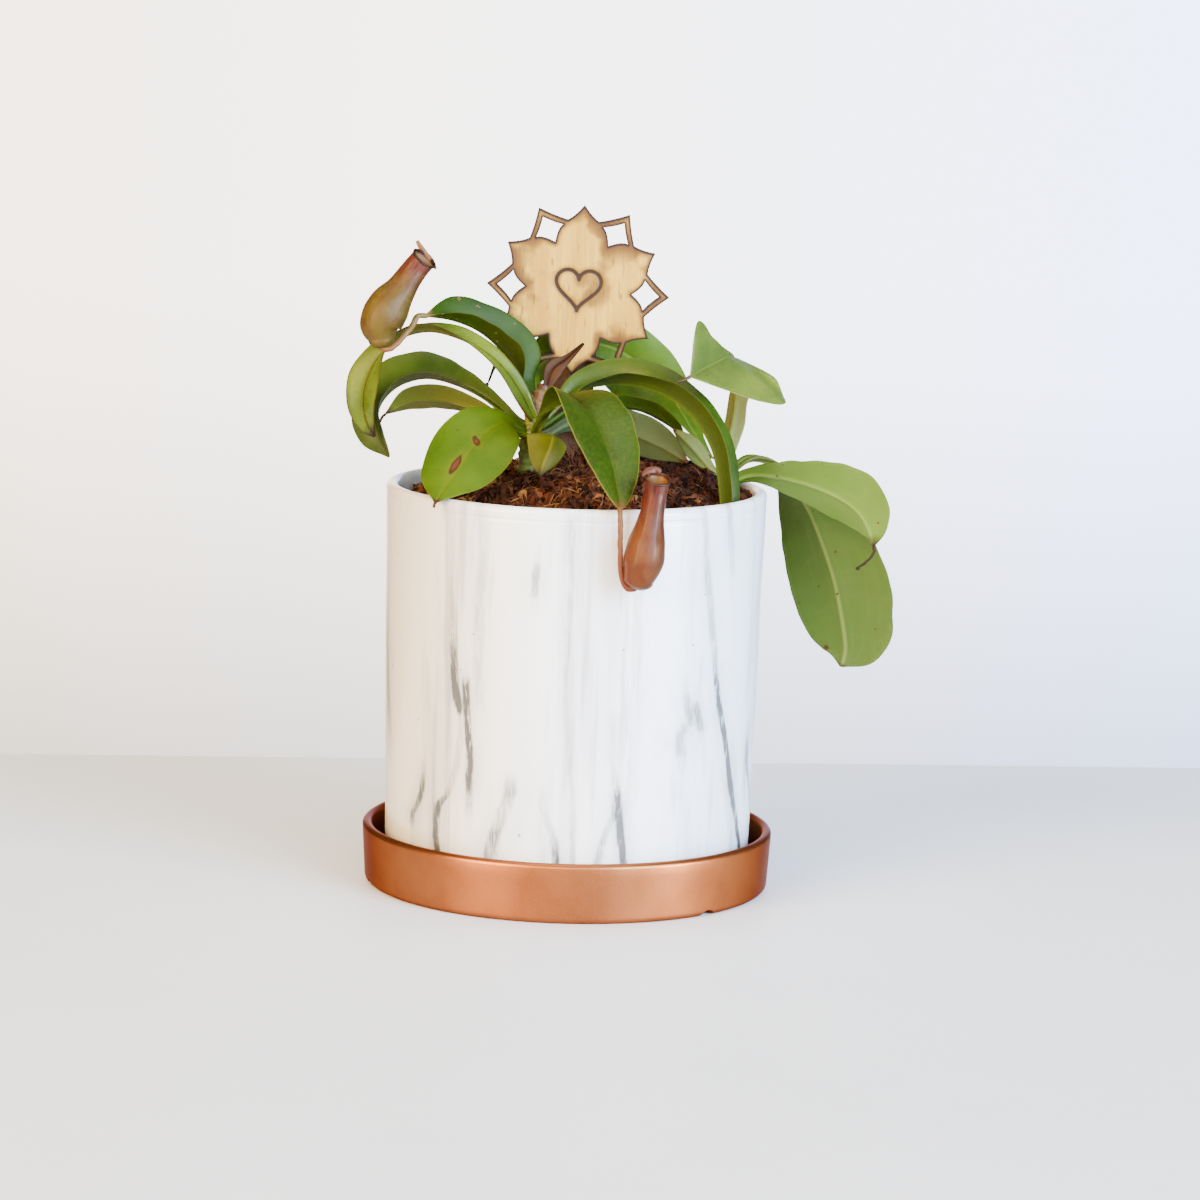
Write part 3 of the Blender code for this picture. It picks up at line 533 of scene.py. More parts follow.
class Effect(Graph):
    """A shader node group that several materials share."""

    def __init__(self, name: str, inputs: dict[str, object]) -> None:
        """Makes the group with its inputs, a colour where the default value is a tuple.

        Args:
            name: the group's name.
            inputs: the default values by input name.
        """
        super().__init__(bpy.data.node_groups.new(name, "ShaderNodeTree"))
        for key, value in inputs.items():
            coloured = isinstance(value, tuple)
            self.socket(key, "INPUT", coloured).default_value = (*value, 1.0) if coloured else value
        node = self.add("NodeGroupInput")
        self.given = {key: node.outputs[key] for key in inputs}

    def socket(self, name: str, side: str, coloured: bool) -> bpy.types.NodeTreeInterfaceSocket:
        """A new socket on the group's input or output side."""
        kind = SocketKind.COLOUR if coloured else SocketKind.NUMBER
        return self.tree.interface.new_socket(name, in_out=side, socket_type=kind.value)

    def done(self, **values: Socket) -> bpy.types.NodeTree:
        """Makes the group's outputs by name, of which only Color is a colour.

        Returns:
            The group.
        """
        for key in values:
            self.socket(key, "OUTPUT", key == "Color")
        node = self.add("NodeGroupOutput")
        for key, value in values.items():
            self.put(node.inputs[key], value)
        return self.tree


def effect_inputs(look: object, *left_out: str) -> dict[str, object]:
    """A finish's fields by name, without those that its shader takes itself."""
    return {key: value for key, value in vars(look).items() if key not in left_out}


def shades(*looks: tuple[int, int, int]) -> list[Colour]:
    """Several colours as they look in the bright studio light."""
    return [seen(*look) for look in looks]


@dataclass(frozen=True)
class LeafFinish:
    """The colours of one leaf, upper side, underside, midrib, margin, tip and marks."""

    upper: Colour = (0.13, 0.30, 0.02)
    deep: Colour = (0.07, 0.19, 0.015)
    under: Colour = (0.22, 0.31, 0.05)
    rib: Colour = (0.30, 0.42, 0.08)
    margin: Colour = (0.36, 0.40, 0.06)
    tip: Colour = (0.20, 0.09, 0.03)
    mark: Colour = seen(120, 56, 30)
    rib_width: float = 0.7
    margin_width: float = 0.4
    tip_length: float = 4.0
    roughness: float = 0.40
    shine: float = 0.10


def leaf_tissue() -> bpy.types.NodeTree:
    """The shared look of leaf tissue: mottling, veins, midrib, margin, brown tip and marks."""
    g = Effect("leaf_tissue", effect_inputs(LeafFinish(), "shine"))
    given = g.given
    across, run, under, lesion = (g.mark(name) for name in ("across", "run_mm", "under", "lesion"))
    top = g.mix(g.span(g.noise(42.0), 0.33, 0.68), given["deep"], given["upper"])
    fine = g.noise(900.0, 2.0)
    top = g.mix(g.span(fine, 0.35, 0.75, 0.0, 0.16), top, given["margin"])
    low = g.mix(g.span(g.noise(70.0), 0.3, 0.7, 0.0, 0.45), given["under"], given["upper"])
    colour = g.mix(under, top, low)
    veins = g.noise(1.0, 2.0, 0.5, g.joined(g.times(across, 9.0), g.times(run, 0.035)))
    slant = g.plus(g.times(run, 0.55), g.times(g.math("ABSOLUTE", across), -2.2))
    cross = g.noise(1.0, 1.0, 0.4, g.joined(slant, g.times(across, 1.4)))
    vein = g.plus(g.span(veins, 0.50, 0.70, 0.0, 0.08), g.span(cross, 0.55, 0.7, 0.0, 0.05))
    colour = g.mix(vein, colour, given["rib"])
    colour = g.mix(g.span(g.mark("rib_mm"), 0.0, given["rib_width"], 0.85, 0.0), colour, given["rib"])
    colour = g.mix(g.span(g.mark("edge_mm"), 0.0, given["margin_width"], 0.8, 0.0), colour, given["margin"])
    colour = g.mix(g.span(g.noise(620.0, 1.0), 0.74, 0.78, 0.0, 0.55), colour, given["tip"])
    tip_run = g.plus(g.mark("tip_mm"), g.swing(g.noise(260.0), 5.0))
    colour = g.mix(g.span(tip_run, 0.0, given["tip_length"], 1.0, 0.0), colour, given["tip"])
    dead = g.span(g.plus(lesion, g.times(g.noise(500.0, 2.0), 0.3)), 0.15, 0.4)
    colour = g.mix(g.span(lesion, -1.2, 0.3, 0.0, 0.35), colour, given["margin"])
    colour = g.mix(dead, colour, g.mix(g.span(lesion, 0.3, 0.6), given["tip"], given["mark"]))
    rough = g.plus(g.plus(given["roughness"], g.times(g.noise(160.0), 0.12)), g.times(under, 0.12))
    height = g.plus(g.plus(g.times(veins, 0.6), g.times(cross, 0.3)), g.times(fine, 0.25))
    return g.done(Color=colour, Roughness=g.math("ADD", rough, g.times(dead, 0.2), clamp=True),
                  Height=g.minus(height, g.times(dead, 0.8)))


@dataclass(frozen=True)
class PitcherFinish:
    """The colours of one pitcher from its belly up to its mouth."""

    belly: Colour
    belly_spots: Colour
    neck: Colour
    stripes: Colour
    inside: Colour
    lip: Colour
    lid: Colour
    neck_from: float = 0.38
    roughness: float = 0.38


def pitcher_tissue() -> bpy.types.NodeTree:
    """The shared look of pitcher tissue: mottled belly, striped neck, amber inside and dark lip."""
    g = Effect("pitcher_tissue", effect_inputs(PITCHERS[0].finish, "roughness"))
    given = g.given
    rise = g.mark("along")
    blotch = g.span(g.noise(170.0, 4.0, 0.6, warp=0.6), 0.36, 0.70)
    belly = g.mix(g.times(blotch, 0.6), given["belly"], given["belly_spots"])
    streak = g.noise(1.0, 3.0, 0.6, g.joined(g.times(g.mark("turn"), 30.0), g.times(rise, 2.6)))
    neck = g.mix(g.span(streak, 0.46, 0.62), given["neck"], given["stripes"])
    colour = g.mix(g.span(g.plus(rise, g.swing(streak, 0.5)), given["neck_from"], 0.92), belly, neck)
    colour = g.mix(g.span(g.noise(1100.0, 1.0), 0.66, 0.74, 0.0, 0.35), colour, given["belly"])
    colour = g.mix(g.times(g.mark("wing"), 0.35), colour, given["neck"])
    for part in ("inside", "lip", "lid"):
        colour = g.mix(g.mark(part), colour, given[part])
    return g.done(Color=colour, Height=g.plus(streak, g.times(blotch, 0.4)))


def wood_grain() -> bpy.types.NodeTree:
    """The shared look of birch ply: upright grain lines, flecks and char towards cut edges."""
    g = Effect("wood_grain", {
        "light": (0.49, 0.285, 0.055), "dark": (0.37, 0.185, 0.032), "char": (0.013, 0.006, 0.003),
        "scorch": (0.075, 0.027, 0.006), "scorch_width": 7.0, "edge": 20.0, "motif": 20.0,
    })
    light, dark, char, scorch, scorch_width, edge, motif = g.given.values()
    wide = g.noise(1.0, 4.0, 0.6, g.stretched(260.0, 260.0, 14.0), 0.4)
    fine = g.noise(1.0, 3.0, 0.7, g.stretched(1500.0, 1500.0, 60.0))
    colour = g.mix(g.span(wide, 0.3, 0.72), light, dark)
    colour = g.mix(g.span(fine, 0.48, 0.70, 0.0, 0.8), colour, dark)
    fleck = g.noise(1.0, 1.0, 0.5, g.stretched(700.0, 700.0, 170.0))
    colour = g.mix(g.span(fleck, 0.66, 0.74, 0.0, 0.5), colour, scorch)
    uneven = g.span(g.noise(70.0), 0.36, 0.62, 3.4, 0.75)
    halo = g.span(g.times(edge, uneven), 0.0, scorch_width, 0.98, 0.0)
    glow = g.span(g.times(motif, uneven), 0.3, scorch_width, 0.8, 0.0)
    colour = g.mix(g.math("MAXIMUM", halo, glow), colour, scorch)
    colour = g.mix(g.span(edge, 0.25, 0.95, 1.0, 0.0), colour, char)
    colour = g.mix(g.span(motif, 0.45, 0.85, 0.95, 0.0), colour, char)
    return g.done(Color=colour, Roughness=g.span(fine, 0.3, 0.7, 0.52, 0.68),
                  Height=g.plus(fine, g.times(wide, 0.6)))


# Pot and saucer


@dataclass(frozen=True)
class Vein:
    """A grey vein in the pot's glaze.

    path holds compass angles in degrees from the front and heights in millimetres. strength holds
    how dark the vein is along it, and width its width in millimetres.
    """

    path: tuple[tuple[float, float], ...]
    strength: tuple[float, ...]
    width: float


VEINS = (
    Vein(((-36.6, 124), (-37.8, 100), (-38.0, 85), (-37.0, 73), (-34.8, 64)), (0.05, 0.25, 0.6, 0.85, 0.3),
         0.9),
    Vein(((-33.0, 80), (-32.8, 62.5), (-31.4, 50), (-31.4, 40), (-31.6, 30)), (0.1, 0.85, 0.8, 0.5, 0.05),
         0.75),
    Vein(((-34.7, 66), (-35.3, 56), (-39.3, 39), (-43.9, 33), (-44.6, 25), (-43.4, 18)),
         (0.3, 0.25, 0.3, 0.75, 0.6, 0.8), 0.8),
    Vein(((-50.3, 50), (-50.4, 43), (-51.9, 35), (-56.0, 28)), (0.05, 0.3, 0.6, 0.5), 0.8),
    Vein(((-17.8, 41), (-19.7, 35), (-22.5, 26), (-24.5, 18)), (0.5, 0.35, 0.5, 0.4), 1.1),
    Vein(((-8.0, 38), (-6.6, 33), (-4.6, 28), (-3.2, 20)), (0.15, 0.2, 0.35, 0.65), 0.7),
    Vein(((-0.8, 128), (-1.2, 100), (-1.5, 72), (0.7, 50), (1.8, 18)), (0.25, 0.3, 0.2, 0.15, 0.35), 0.5),
    Vein(((12.7, 64), (12.8, 53), (15.6, 41), (16.1, 34), (18.0, 18)), (0.2, 0.15, 0.6, 0.8, 0.6), 0.65),
    Vein(((15.0, 35), (12.6, 29.5), (11.0, 25), (9.6, 18)), (0.5, 0.3, 0.4, 0.3), 0.7),
    Vein(((40.4, 134), (43.5, 112), (46.1, 97), (50.0, 74), (57.2, 50), (64.6, 29), (72.0, 12)),
         (0.25, 0.35, 0.35, 0.6, 0.9, 0.85, 0.95), 0.8),
    Vein(((36.6, 75), (38.7, 67), (39.5, 62)), (0.15, 0.45, 0.2), 0.9),
    Vein(((39.9, 72), (42.5, 64.5), (43.7, 60)), (0.15, 0.5, 0.15), 0.9),
    Vein(((37.2, 65), (35.3, 58.5), (36.4, 52)), (0.1, 0.45, 0.2), 1.2),
    Vein(((73.6, 54), (73.4, 46), (78.0, 38), (83.0, 30)), (0.2, 0.5, 0.5, 0.5), 1.0),
    Vein(((-10.8, 118), (-11.4, 111), (-11.6, 105)), (0.1, 0.45, 0.1), 0.7),
    Vein(((-80.5, 92), (-77.7, 69), (-74.0, 46)), (0.2, 0.35, 0.1), 1.3),
    Vein(((52.0, 133), (53.8, 122), (55.3, 108)), (0.3, 0.3, 0.05), 0.8),
    Vein(((-27.2, 128), (-28.5, 100), (-28.9, 84), (-27.5, 60)), (0.15, 0.25, 0.25, 0.05), 1.1),
    Vein(((118.0, 126), (115.5, 96), (116.0, 70), (112.5, 40), (112.0, 16)), (0.1, 0.4, 0.6, 0.5, 0.35),
         0.45),
    Vein(((146.0, 90), (148.0, 62), (147.5, 38), (150.0, 18)), (0.1, 0.4, 0.5, 0.3), 0.4),
    Vein(((-160.0, 130), (-163.0, 98), (-163.5, 66), (-167.0, 34), (-167.5, 14)),
         (0.2, 0.35, 0.6, 0.5, 0.4), 0.45),
    Vein(((-120.0, 80), (-122.0, 56), (-120.5, 34), (-122.0, 18)), (0.1, 0.45, 0.4, 0.3), 0.5),
    Vein(((-101.0, 128), (-98.0, 92), (-103.0, 60)), (0.2, 0.35, 0.1), 0.8),
    Vein(((88.0, 118), (92.0, 84), (89.0, 52)), (0.1, 0.35, 0.2), 0.8),
)
VEIN_SPAN = 200.0
VEIN_TALL = 140.0


@dataclass(frozen=True)
class MarbleGlaze:
    """The white glaze with its soft grey veins."""

    white: Colour = (0.90, 0.89, 0.88)
    shade: Colour = (0.60, 0.60, 0.61)
    vein: Colour = (0.040, 0.038, 0.036)
    # Painted warm light and shade, multiplied over the pot's left side.
    warm: Colour = (0.74, 0.69, 0.585)
    body: Colour = (0.55, 0.50, 0.42)
    speck: Colour = (0.06, 0.05, 0.05)

    @staticmethod
    def vein_mask(g: Graph, vein: Vein, angle: Socket, height: Socket, drift: Socket,
                  grain: Socket) -> Socket:
        """One vein's darkness: a soft core round the path, whose place and strength are curves by height.

        Args:
            g: the graph to add to.
            vein: the vein.
            angle: the compass angle in degrees, from -180 to 180.
            height: the height as a share of VEIN_TALL.
            drift: noise from 0 to 1 that bends the path.
            grain: noise from 0 to 1 that breaks the vein up.

        Returns:
            The mask from 0 to 1.
        """
        rows = sorted((z / VEIN_TALL, 0.5 + a / (2 * VEIN_SPAN), s)
                      for (a, z), s in zip(vein.path, vein.strength))
        low, high = rows[0][0], rows[-1][0]
        middle = g.swing(g.curve(height, [row[:2] for row in rows]), 2 * VEIN_SPAN)
        power = g.curve(height, [row[::2] for row in rows])
        window = g.times(g.span(height, low - 0.05, low), g.span(height, high, high + 0.06, 1.0, 0.0))
        off = g.math("ABSOLUTE", g.plus(g.minus(angle, middle), g.swing(drift, 2.6)))
        half = vein.width * 2.6
        core = g.times(g.span(off, half * 0.3, half, 1.15, 0.0), g.span(grain, 0.32, 0.56, 0.25, 1.1))
        halo = g.times(g.span(off, 0.0, half * 4.0, 0.5, 0.0), g.span(drift, 0.38, 0.62, 0.45, 1.0))
        return g.times(g.times(g.plus(core, halo), power), window)

    def material(self) -> bpy.types.Material:
        """The glaze: white with broad pale upright bands, all veins, tiny dark specks, and painted warm
        shade on the left.
        """
        g = Finish("marble_glaze", Coat_Weight=0.35, Coat_Roughness=0.12)
        x, y, z = g.apart()
        angle = g.times(g.math("ARCTAN2", x, g.times(y, -1.0)), 180.0 / math.pi)
        height = g.times(z, 1.0 / (VEIN_TALL * MM))
        drift = g.noise(1.0, 3.0, 0.6, g.stretched(90.0, 90.0, 55.0))
        grain = g.noise(1.0, 5.0, 0.7, g.stretched(900.0, 900.0, 150.0))
        bands = g.noise(1.0, 3.0, 0.55, g.stretched(60.0, 60.0, 7.0), 0.6)
        thin = g.noise(1.0, 4.0, 0.65, g.stretched(210.0, 210.0, 12.0), 0.5)
        colour = g.mix(g.span(bands, 0.45, 0.72, 0.0, 0.62), self.white, self.shade)
        faint = g.span(g.times(thin, g.span(bands, 0.35, 0.6, 0.7, 1.15)), 0.56, 0.76, 0.0, 0.30)
        colour = g.mix(faint, colour, self.vein)
        total: object = 0.0
        for vein in VEINS:
            total = g.math("MAXIMUM", total, self.vein_mask(g, vein, angle, height, drift, grain))
        colour = g.mix(g.math("MINIMUM", total, 0.94), colour, self.vein)
        colour = g.mix(g.span(g.noise(420.0, 0.0), 0.865, 0.885, 0.0, 0.7), colour, self.speck)
        colour = g.mix(g.mark("bare"), colour, self.body)
        # Painted warm light and shade: warmer and darker towards the left, from x = 12 mm out to x = -62 mm.
        colour = g.mix(g.span(x, -0.062, 0.012, 1.0, 0.0), colour, self.warm, "MULTIPLY")
        wavy = g.plus(g.noise(75.0, 2.0), g.times(g.noise(700.0, 2.0), 0.04))
        return g.done(Base_Color=colour, Normal=g.bump(wavy, 0.18, 0.5),
                      Roughness=g.span(bands, 0.3, 0.7, 0.27, 0.36))


def arc(centre: tuple[float, float], radius: float, start: float, end: float, count: int) -> np.ndarray:
    """Points on an arc in a profile, angles in degrees."""
    turn = np.radians(np.linspace(start, end, count))
    return np.stack([centre[0] + radius * np.cos(turn), centre[1] + radius * np.sin(turn)], -1)


def line(start: tuple[float, float], end: tuple[float, float], count: int) -> np.ndarray:
    """Points on a straight line in a profile, without its ends."""
    share = np.linspace(0, 1, count + 2)[1:-1, None]
    return np.array(start) * (1 - share) + np.array(end) * share


@dataclass
class Pot:
    """The marbled pot: a tapered wall with a rounded lip, a fine line under it and a drainage hole."""

    steps: int = 220
    drain: float = 6.0
    floor: float = 5.5
    groove_drop: float = 4.2
    groove_deep: float = 0.22

    def outer(self, height: np.ndarray) -> np.ndarray:
        """The outer radius at a height: straight taper less the fine groove under the lip."""
        share = (height - 4.0) / (POT_TOP - 4.0)
        groove = np.exp(-(((height - POT_TOP + self.groove_drop) / 0.45) ** 2)) * self.groove_deep
        return POT_FOOT_R + (POT_RIM_R - POT_FOOT_R) * share - groove

    def profile(self) -> np.ndarray:
        """The wall's closed profile: foot arc, outer wall, lip arc, inner wall, floor, hole."""
        wall_z = np.concatenate([np.linspace(POT_BOTTOM + 2.4, 125.0, 26),
                                 np.linspace(126.0, POT_TOP - 2.2, 22)])
        outer = np.stack([self.outer(wall_z), wall_z], -1)
        top_r = POT_RIM_R - POT_LIP
        inner_z = np.linspace(POT_TOP - 2.4, POT_BOTTOM + self.floor + 3, 16)
        inner = np.stack([self.outer(inner_z) - POT_WALL, inner_z], -1)
        floor_z = POT_BOTTOM + self.floor
        return np.vstack([
            [(self.drain, POT_BOTTOM)],
            line((self.drain, POT_BOTTOM), (POT_FOOT_R - 2, POT_BOTTOM), 6),
            arc((POT_FOOT_R - 2, POT_BOTTOM + 2), 2.0, -90, 0, 6),
            outer,
            arc((top_r, POT_TOP - POT_LIP), POT_LIP, 0, 180, 15),
            inner,
            line((POT_FOOT_R - POT_WALL, floor_z + 3), (POT_FOOT_R - POT_WALL - 3, floor_z), 2),
            line((POT_FOOT_R - POT_WALL - 3, floor_z), (self.drain, floor_z), 6),
            [(self.drain, floor_z)],
        ])

    def build(self) -> None:
        """Adds the pot."""
        profile = self.profile()
        bare = (profile[:, 1] < POT_BOTTOM + 0.8).astype(float)
        surface = lathe(profile, self.steps, {"bare": bare})
        wobble = soft_noise(surface.points * [1.0, 1.0, 0.6], 45.0, 3) * 0.12
        inside = np.hypot(surface.points[:, 0], surface.points[:, 1])
        surface.points[:, :2] *= (1 - np.abs(wobble) / np.maximum(inside, 1.0))[:, None]
        add_piece("pot_marbled", surface, MarbleGlaze().material(), ("pot",), 50)


@dataclass(frozen=True)
class CopperFinish:
    """The saucer's copper-coloured coat: fine metal flakes and a soft satin."""

    copper: Colour = (0.285, 0.090, 0.028)
    warm: Colour = (0.235, 0.070, 0.022)
    flake: Colour = (0.60, 0.24, 0.09)
    scuff: Colour = (0.16, 0.07, 0.04)

    def material(self) -> bpy.types.Material:
        """The coat with flakes in its colour and roughness, and a few scuffs at the foot."""
        g = Finish("copper_coat", Metallic=1.0, Specular_Tint=(0.40, 0.34, 0.40))
        cloud = g.noise(60.0, 4.0)
        flakes = g.noise(3800.0, 1.0)
        colour = g.mix(g.span(cloud, 0.35, 0.7), self.copper, self.warm)
        colour = g.mix(g.span(flakes, 0.58, 0.72, 0.0, 0.25), colour, self.flake)
        scuff = g.span(g.noise(1.0, 4.0, 0.7, g.stretched(300.0, 300.0, 900.0)), 0.66, 0.72)
        colour = g.mix(g.times(scuff, g.span(g.mark("rise_mm"), 0.0, 3.5, 0.6, 0.0)), colour, self.scuff)
        return g.done(Base_Color=colour, Roughness=g.span(flakes, 0.3, 0.7, 0.32, 0.42),
                      Normal=g.bump(flakes, 0.10, 0.05))


@dataclass
class Saucer:
    """The saucer: a shallow round dish with three arched notches in its bottom edge."""

    steps: int = 288
    notch_angles: tuple[float, ...] = (-46.0, 74.0, 194.0)
    notch_width: float = 6.0
    notch_deep: float = 5.0
    notch_tall: float = 2.0
    floor: float = 4.0

    def profile(self) -> np.ndarray:
        """Half the section from the axis out and back: foot, wall, lip arc, inner wall and floor."""
        inner = SAUCER_R - 2 * SAUCER_LIP
        lip_z = SAUCER_TOP - SAUCER_LIP
        return np.vstack([
            line((0.0, 0.0), (SAUCER_FOOT_R - 2, 0.0), 9),
            arc((SAUCER_FOOT_R - 2, 2.0), 2.0, -90, 0, 8),
            line((SAUCER_FOOT_R, 2.0), (SAUCER_R - 0.05, lip_z - 1.5), 10),
            arc((SAUCER_R - SAUCER_LIP, lip_z), SAUCER_LIP, 0, 180, 15),
            line((inner, lip_z), (inner - 0.4, self.floor + 2.5), 5),
            arc((inner - 2.9, self.floor + 2.5), 2.5, 0, -90, 6),
            line((inner - 2.9, self.floor), (0.0, self.floor), 8),
        ])

    def body(self) -> Surface:
        """The dish without notches, closed at the axis by fans."""
        surface = skin(revolved(self.profile(), self.steps), {})
        surface.points[-2:] = ((0.0, 0.0, 0.0), (0.0, 0.0, self.floor))
        return surface

    def cutter(self) -> Surface:
        """The three arched prisms: x = w/2 cos t, z = h sin t across the rim."""
        arch = np.radians(np.linspace(0, 180, 15))
        half = self.notch_width / 2
        across = np.concatenate([[half], half * np.cos(arch), [-half]])[None, :, None]
        up = np.concatenate([[-1.0], self.notch_tall * np.sin(arch), [-1.0]])[None, :, None]
        reach = np.array([SAUCER_R - self.notch_deep, SAUCER_R + 2.0])[:, None, None]
        made = []
        for angle in np.radians(self.notch_angles):
            out = np.array([math.cos(angle), math.sin(angle), 0.0])
            side = np.array([-out[1], out[0], 0.0])
            made.append(skin(out * reach + side * across + np.array([0, 0, 1.0]) * up, {}))
        return joined(made)

    def build(self) -> None:
        """Adds the saucer with its notches cut."""
        surface = carved(self.body(), self.cutter())
        surface.marks["rise_mm"] = surface.points[:, 2]
        add_piece("saucer_copper_dish", surface, CopperFinish().material(), ("saucer",), 40)


def carved(body: Surface, cutter: Surface) -> Surface:
    """A closed body with a closed cutter taken out of it, as triangles without marks.

    Args:
        body: the body.
        cutter: the cutter.

    Returns:
        What is left of the body.
    """
    made = [new_object("carving", new_mesh("carving", each.points.tolist(), each.faces()))
            for each in (body, cutter)]
    boolean = made[0].modifiers.new("carve", "BOOLEAN")
    boolean.operation = "DIFFERENCE"
    boolean.object = made[1]
    boolean.solver = "MANIFOLD"
    bpy.context.view_layer.update()
    result = made[0].evaluated_get(bpy.context.evaluated_depsgraph_get())
    mesh = result.to_mesh()
    mesh.calc_loop_triangles()
    points = np.empty(len(mesh.vertices) * 3, np.float32)
    mesh.vertices.foreach_get("co", points)
    tris = np.empty(len(mesh.loop_triangles) * 3, np.int32)
    mesh.loop_triangles.foreach_get("vertices", tris)
    result.to_mesh_clear()
    for each in made:
        data = each.data
        bpy.data.objects.remove(each)
        bpy.data.meshes.remove(data)
    return Surface(points.reshape(-1, 3).astype(float), np.zeros((0, 4), int), tris.reshape(-1, 3))


# Moss


def moss_height(x: np.ndarray, y: np.ndarray) -> np.ndarray:
    """The moss's height: a mound that falls to the wall, with tufts of seeded waves."""
    reach = np.hypot(x - MOSS_CENTRE[0], y - MOSS_CENTRE[1]) / MOSS_REACH
    mound = MOSS_EDGE + MOSS_RISE * np.clip(1 - reach**2.4, 0, 1)
    draw = np.random.default_rng(5)
    tufts = np.zeros_like(x)
    for _ in range(10):
        angle, phase = draw.uniform(0, 2 * np.pi, 2)
        pitch = draw.uniform(9.0, 20.0)
        tufts += np.sin((x * np.cos(angle) + y * np.sin(angle)) * 2 * np.pi / pitch + phase)
    return mound + 0.37 * tufts


def moss_tones() -> bpy.types.NodeTree:
    """The shared look of dried moss by tone: painted shade for the dark gaps, red-brown shreds and tan
    straw.
    """
    g = Effect("moss_tones", {"tone": 0.5, "grain": 900.0})
    grain = g.noise(g.given["grain"], 3.0, 0.65)
    tones = shades((22, 10, 5), (76, 37, 19), (124, 65, 35), (170, 104, 57), (212, 155, 93))
    stops = tuple(zip((0.05, 0.30, 0.55, 0.75, 0.95), tones))
    return g.done(Color=g.ramp(g.plus(g.given["tone"], g.swing(grain, 0.35)), stops), Height=grain)


@dataclass(frozen=True)
class MossFinish:
    """The moss's finish for its bed or for its loose strands."""

    name: str
    grain: float
    bump_mm: float
    shared: bpy.types.NodeTree

    def material(self) -> bpy.types.Material:
        """A rough fibre finish whose colour follows the mark "tone"."""
        g = Finish(self.name, Roughness=0.8, Specular_IOR_Level=0.1)
        look = g.effect(self.shared, tone=g.mark("tone"), grain=self.grain)
        return g.done(Base_Color=look["Color"], Normal=g.bump(look["Height"], 0.7, self.bump_mm))


@dataclass(frozen=True)
class StrandKind:
    """One kind of moss strand: how many there are and how each is shaped, in millimetres."""

    name: str
    count: int
    rings: int
    length: tuple[float, float]
    half_width: tuple[float, float]
    flatness: float
    wander: float
    arch: tuple[float, float]
    lift: tuple[float, float]
    tone: float
    seed: int
    knobs: float = 0.25


STRANDS = (
    StrandKind("moss_fibres", 2600, 9, (5.0, 14.0), (0.10, 0.24), 0.8, 0.42, (0.2, 2.4), (-0.4, 0.9), 0.50,
               21),
    StrandKind("moss_flakes", 1500, 8, (3.5, 9.0), (0.6, 1.6), 0.25, 0.6, (0.2, 2.0), (-0.6, 0.7), 0.38, 25,
               0.55),
    StrandKind("moss_shreds", 2200, 6, (2.4, 8.0), (0.4, 1.1), 0.2, 0.55, (0.1, 1.6), (-0.4, 0.9), 0.46, 22,
               0.4),
    StrandKind("moss_curls", 220, 12, (6.0, 14.0), (0.3, 0.65), 0.4, 0.95, (0.4, 3.2), (-0.2, 1.0), 0.56,
               23, 0.5),
)


@dataclass(frozen=True)
class Tuft:
    """A bunch of loose straw: its middle, its spread, how many strands and their way in degrees."""

    place: tuple[float, float]
    spread: float
    count: int
    way: float
    rise: float
    tone: float


TUFTS = (
    Tuft((-53.0, -14.0), 3.2, 26, 170.0, 3.0, 0.92),
    Tuft((-44.0, -33.0), 4.0, 26, 215.0, 1.6, 0.80),
    Tuft((-26.0, -48.0), 5.0, 30, 260.0, 1.5, 0.78),
    Tuft((-5.0, -50.0), 6.0, 20, 300.0, 1.2, 0.70),
    Tuft((0.5, -2.0), 5.5, 60, 80.0, 5.0, 0.46),
    Tuft((26.0, -46.0), 7.0, 24, 330.0, 1.2, 0.62),
)


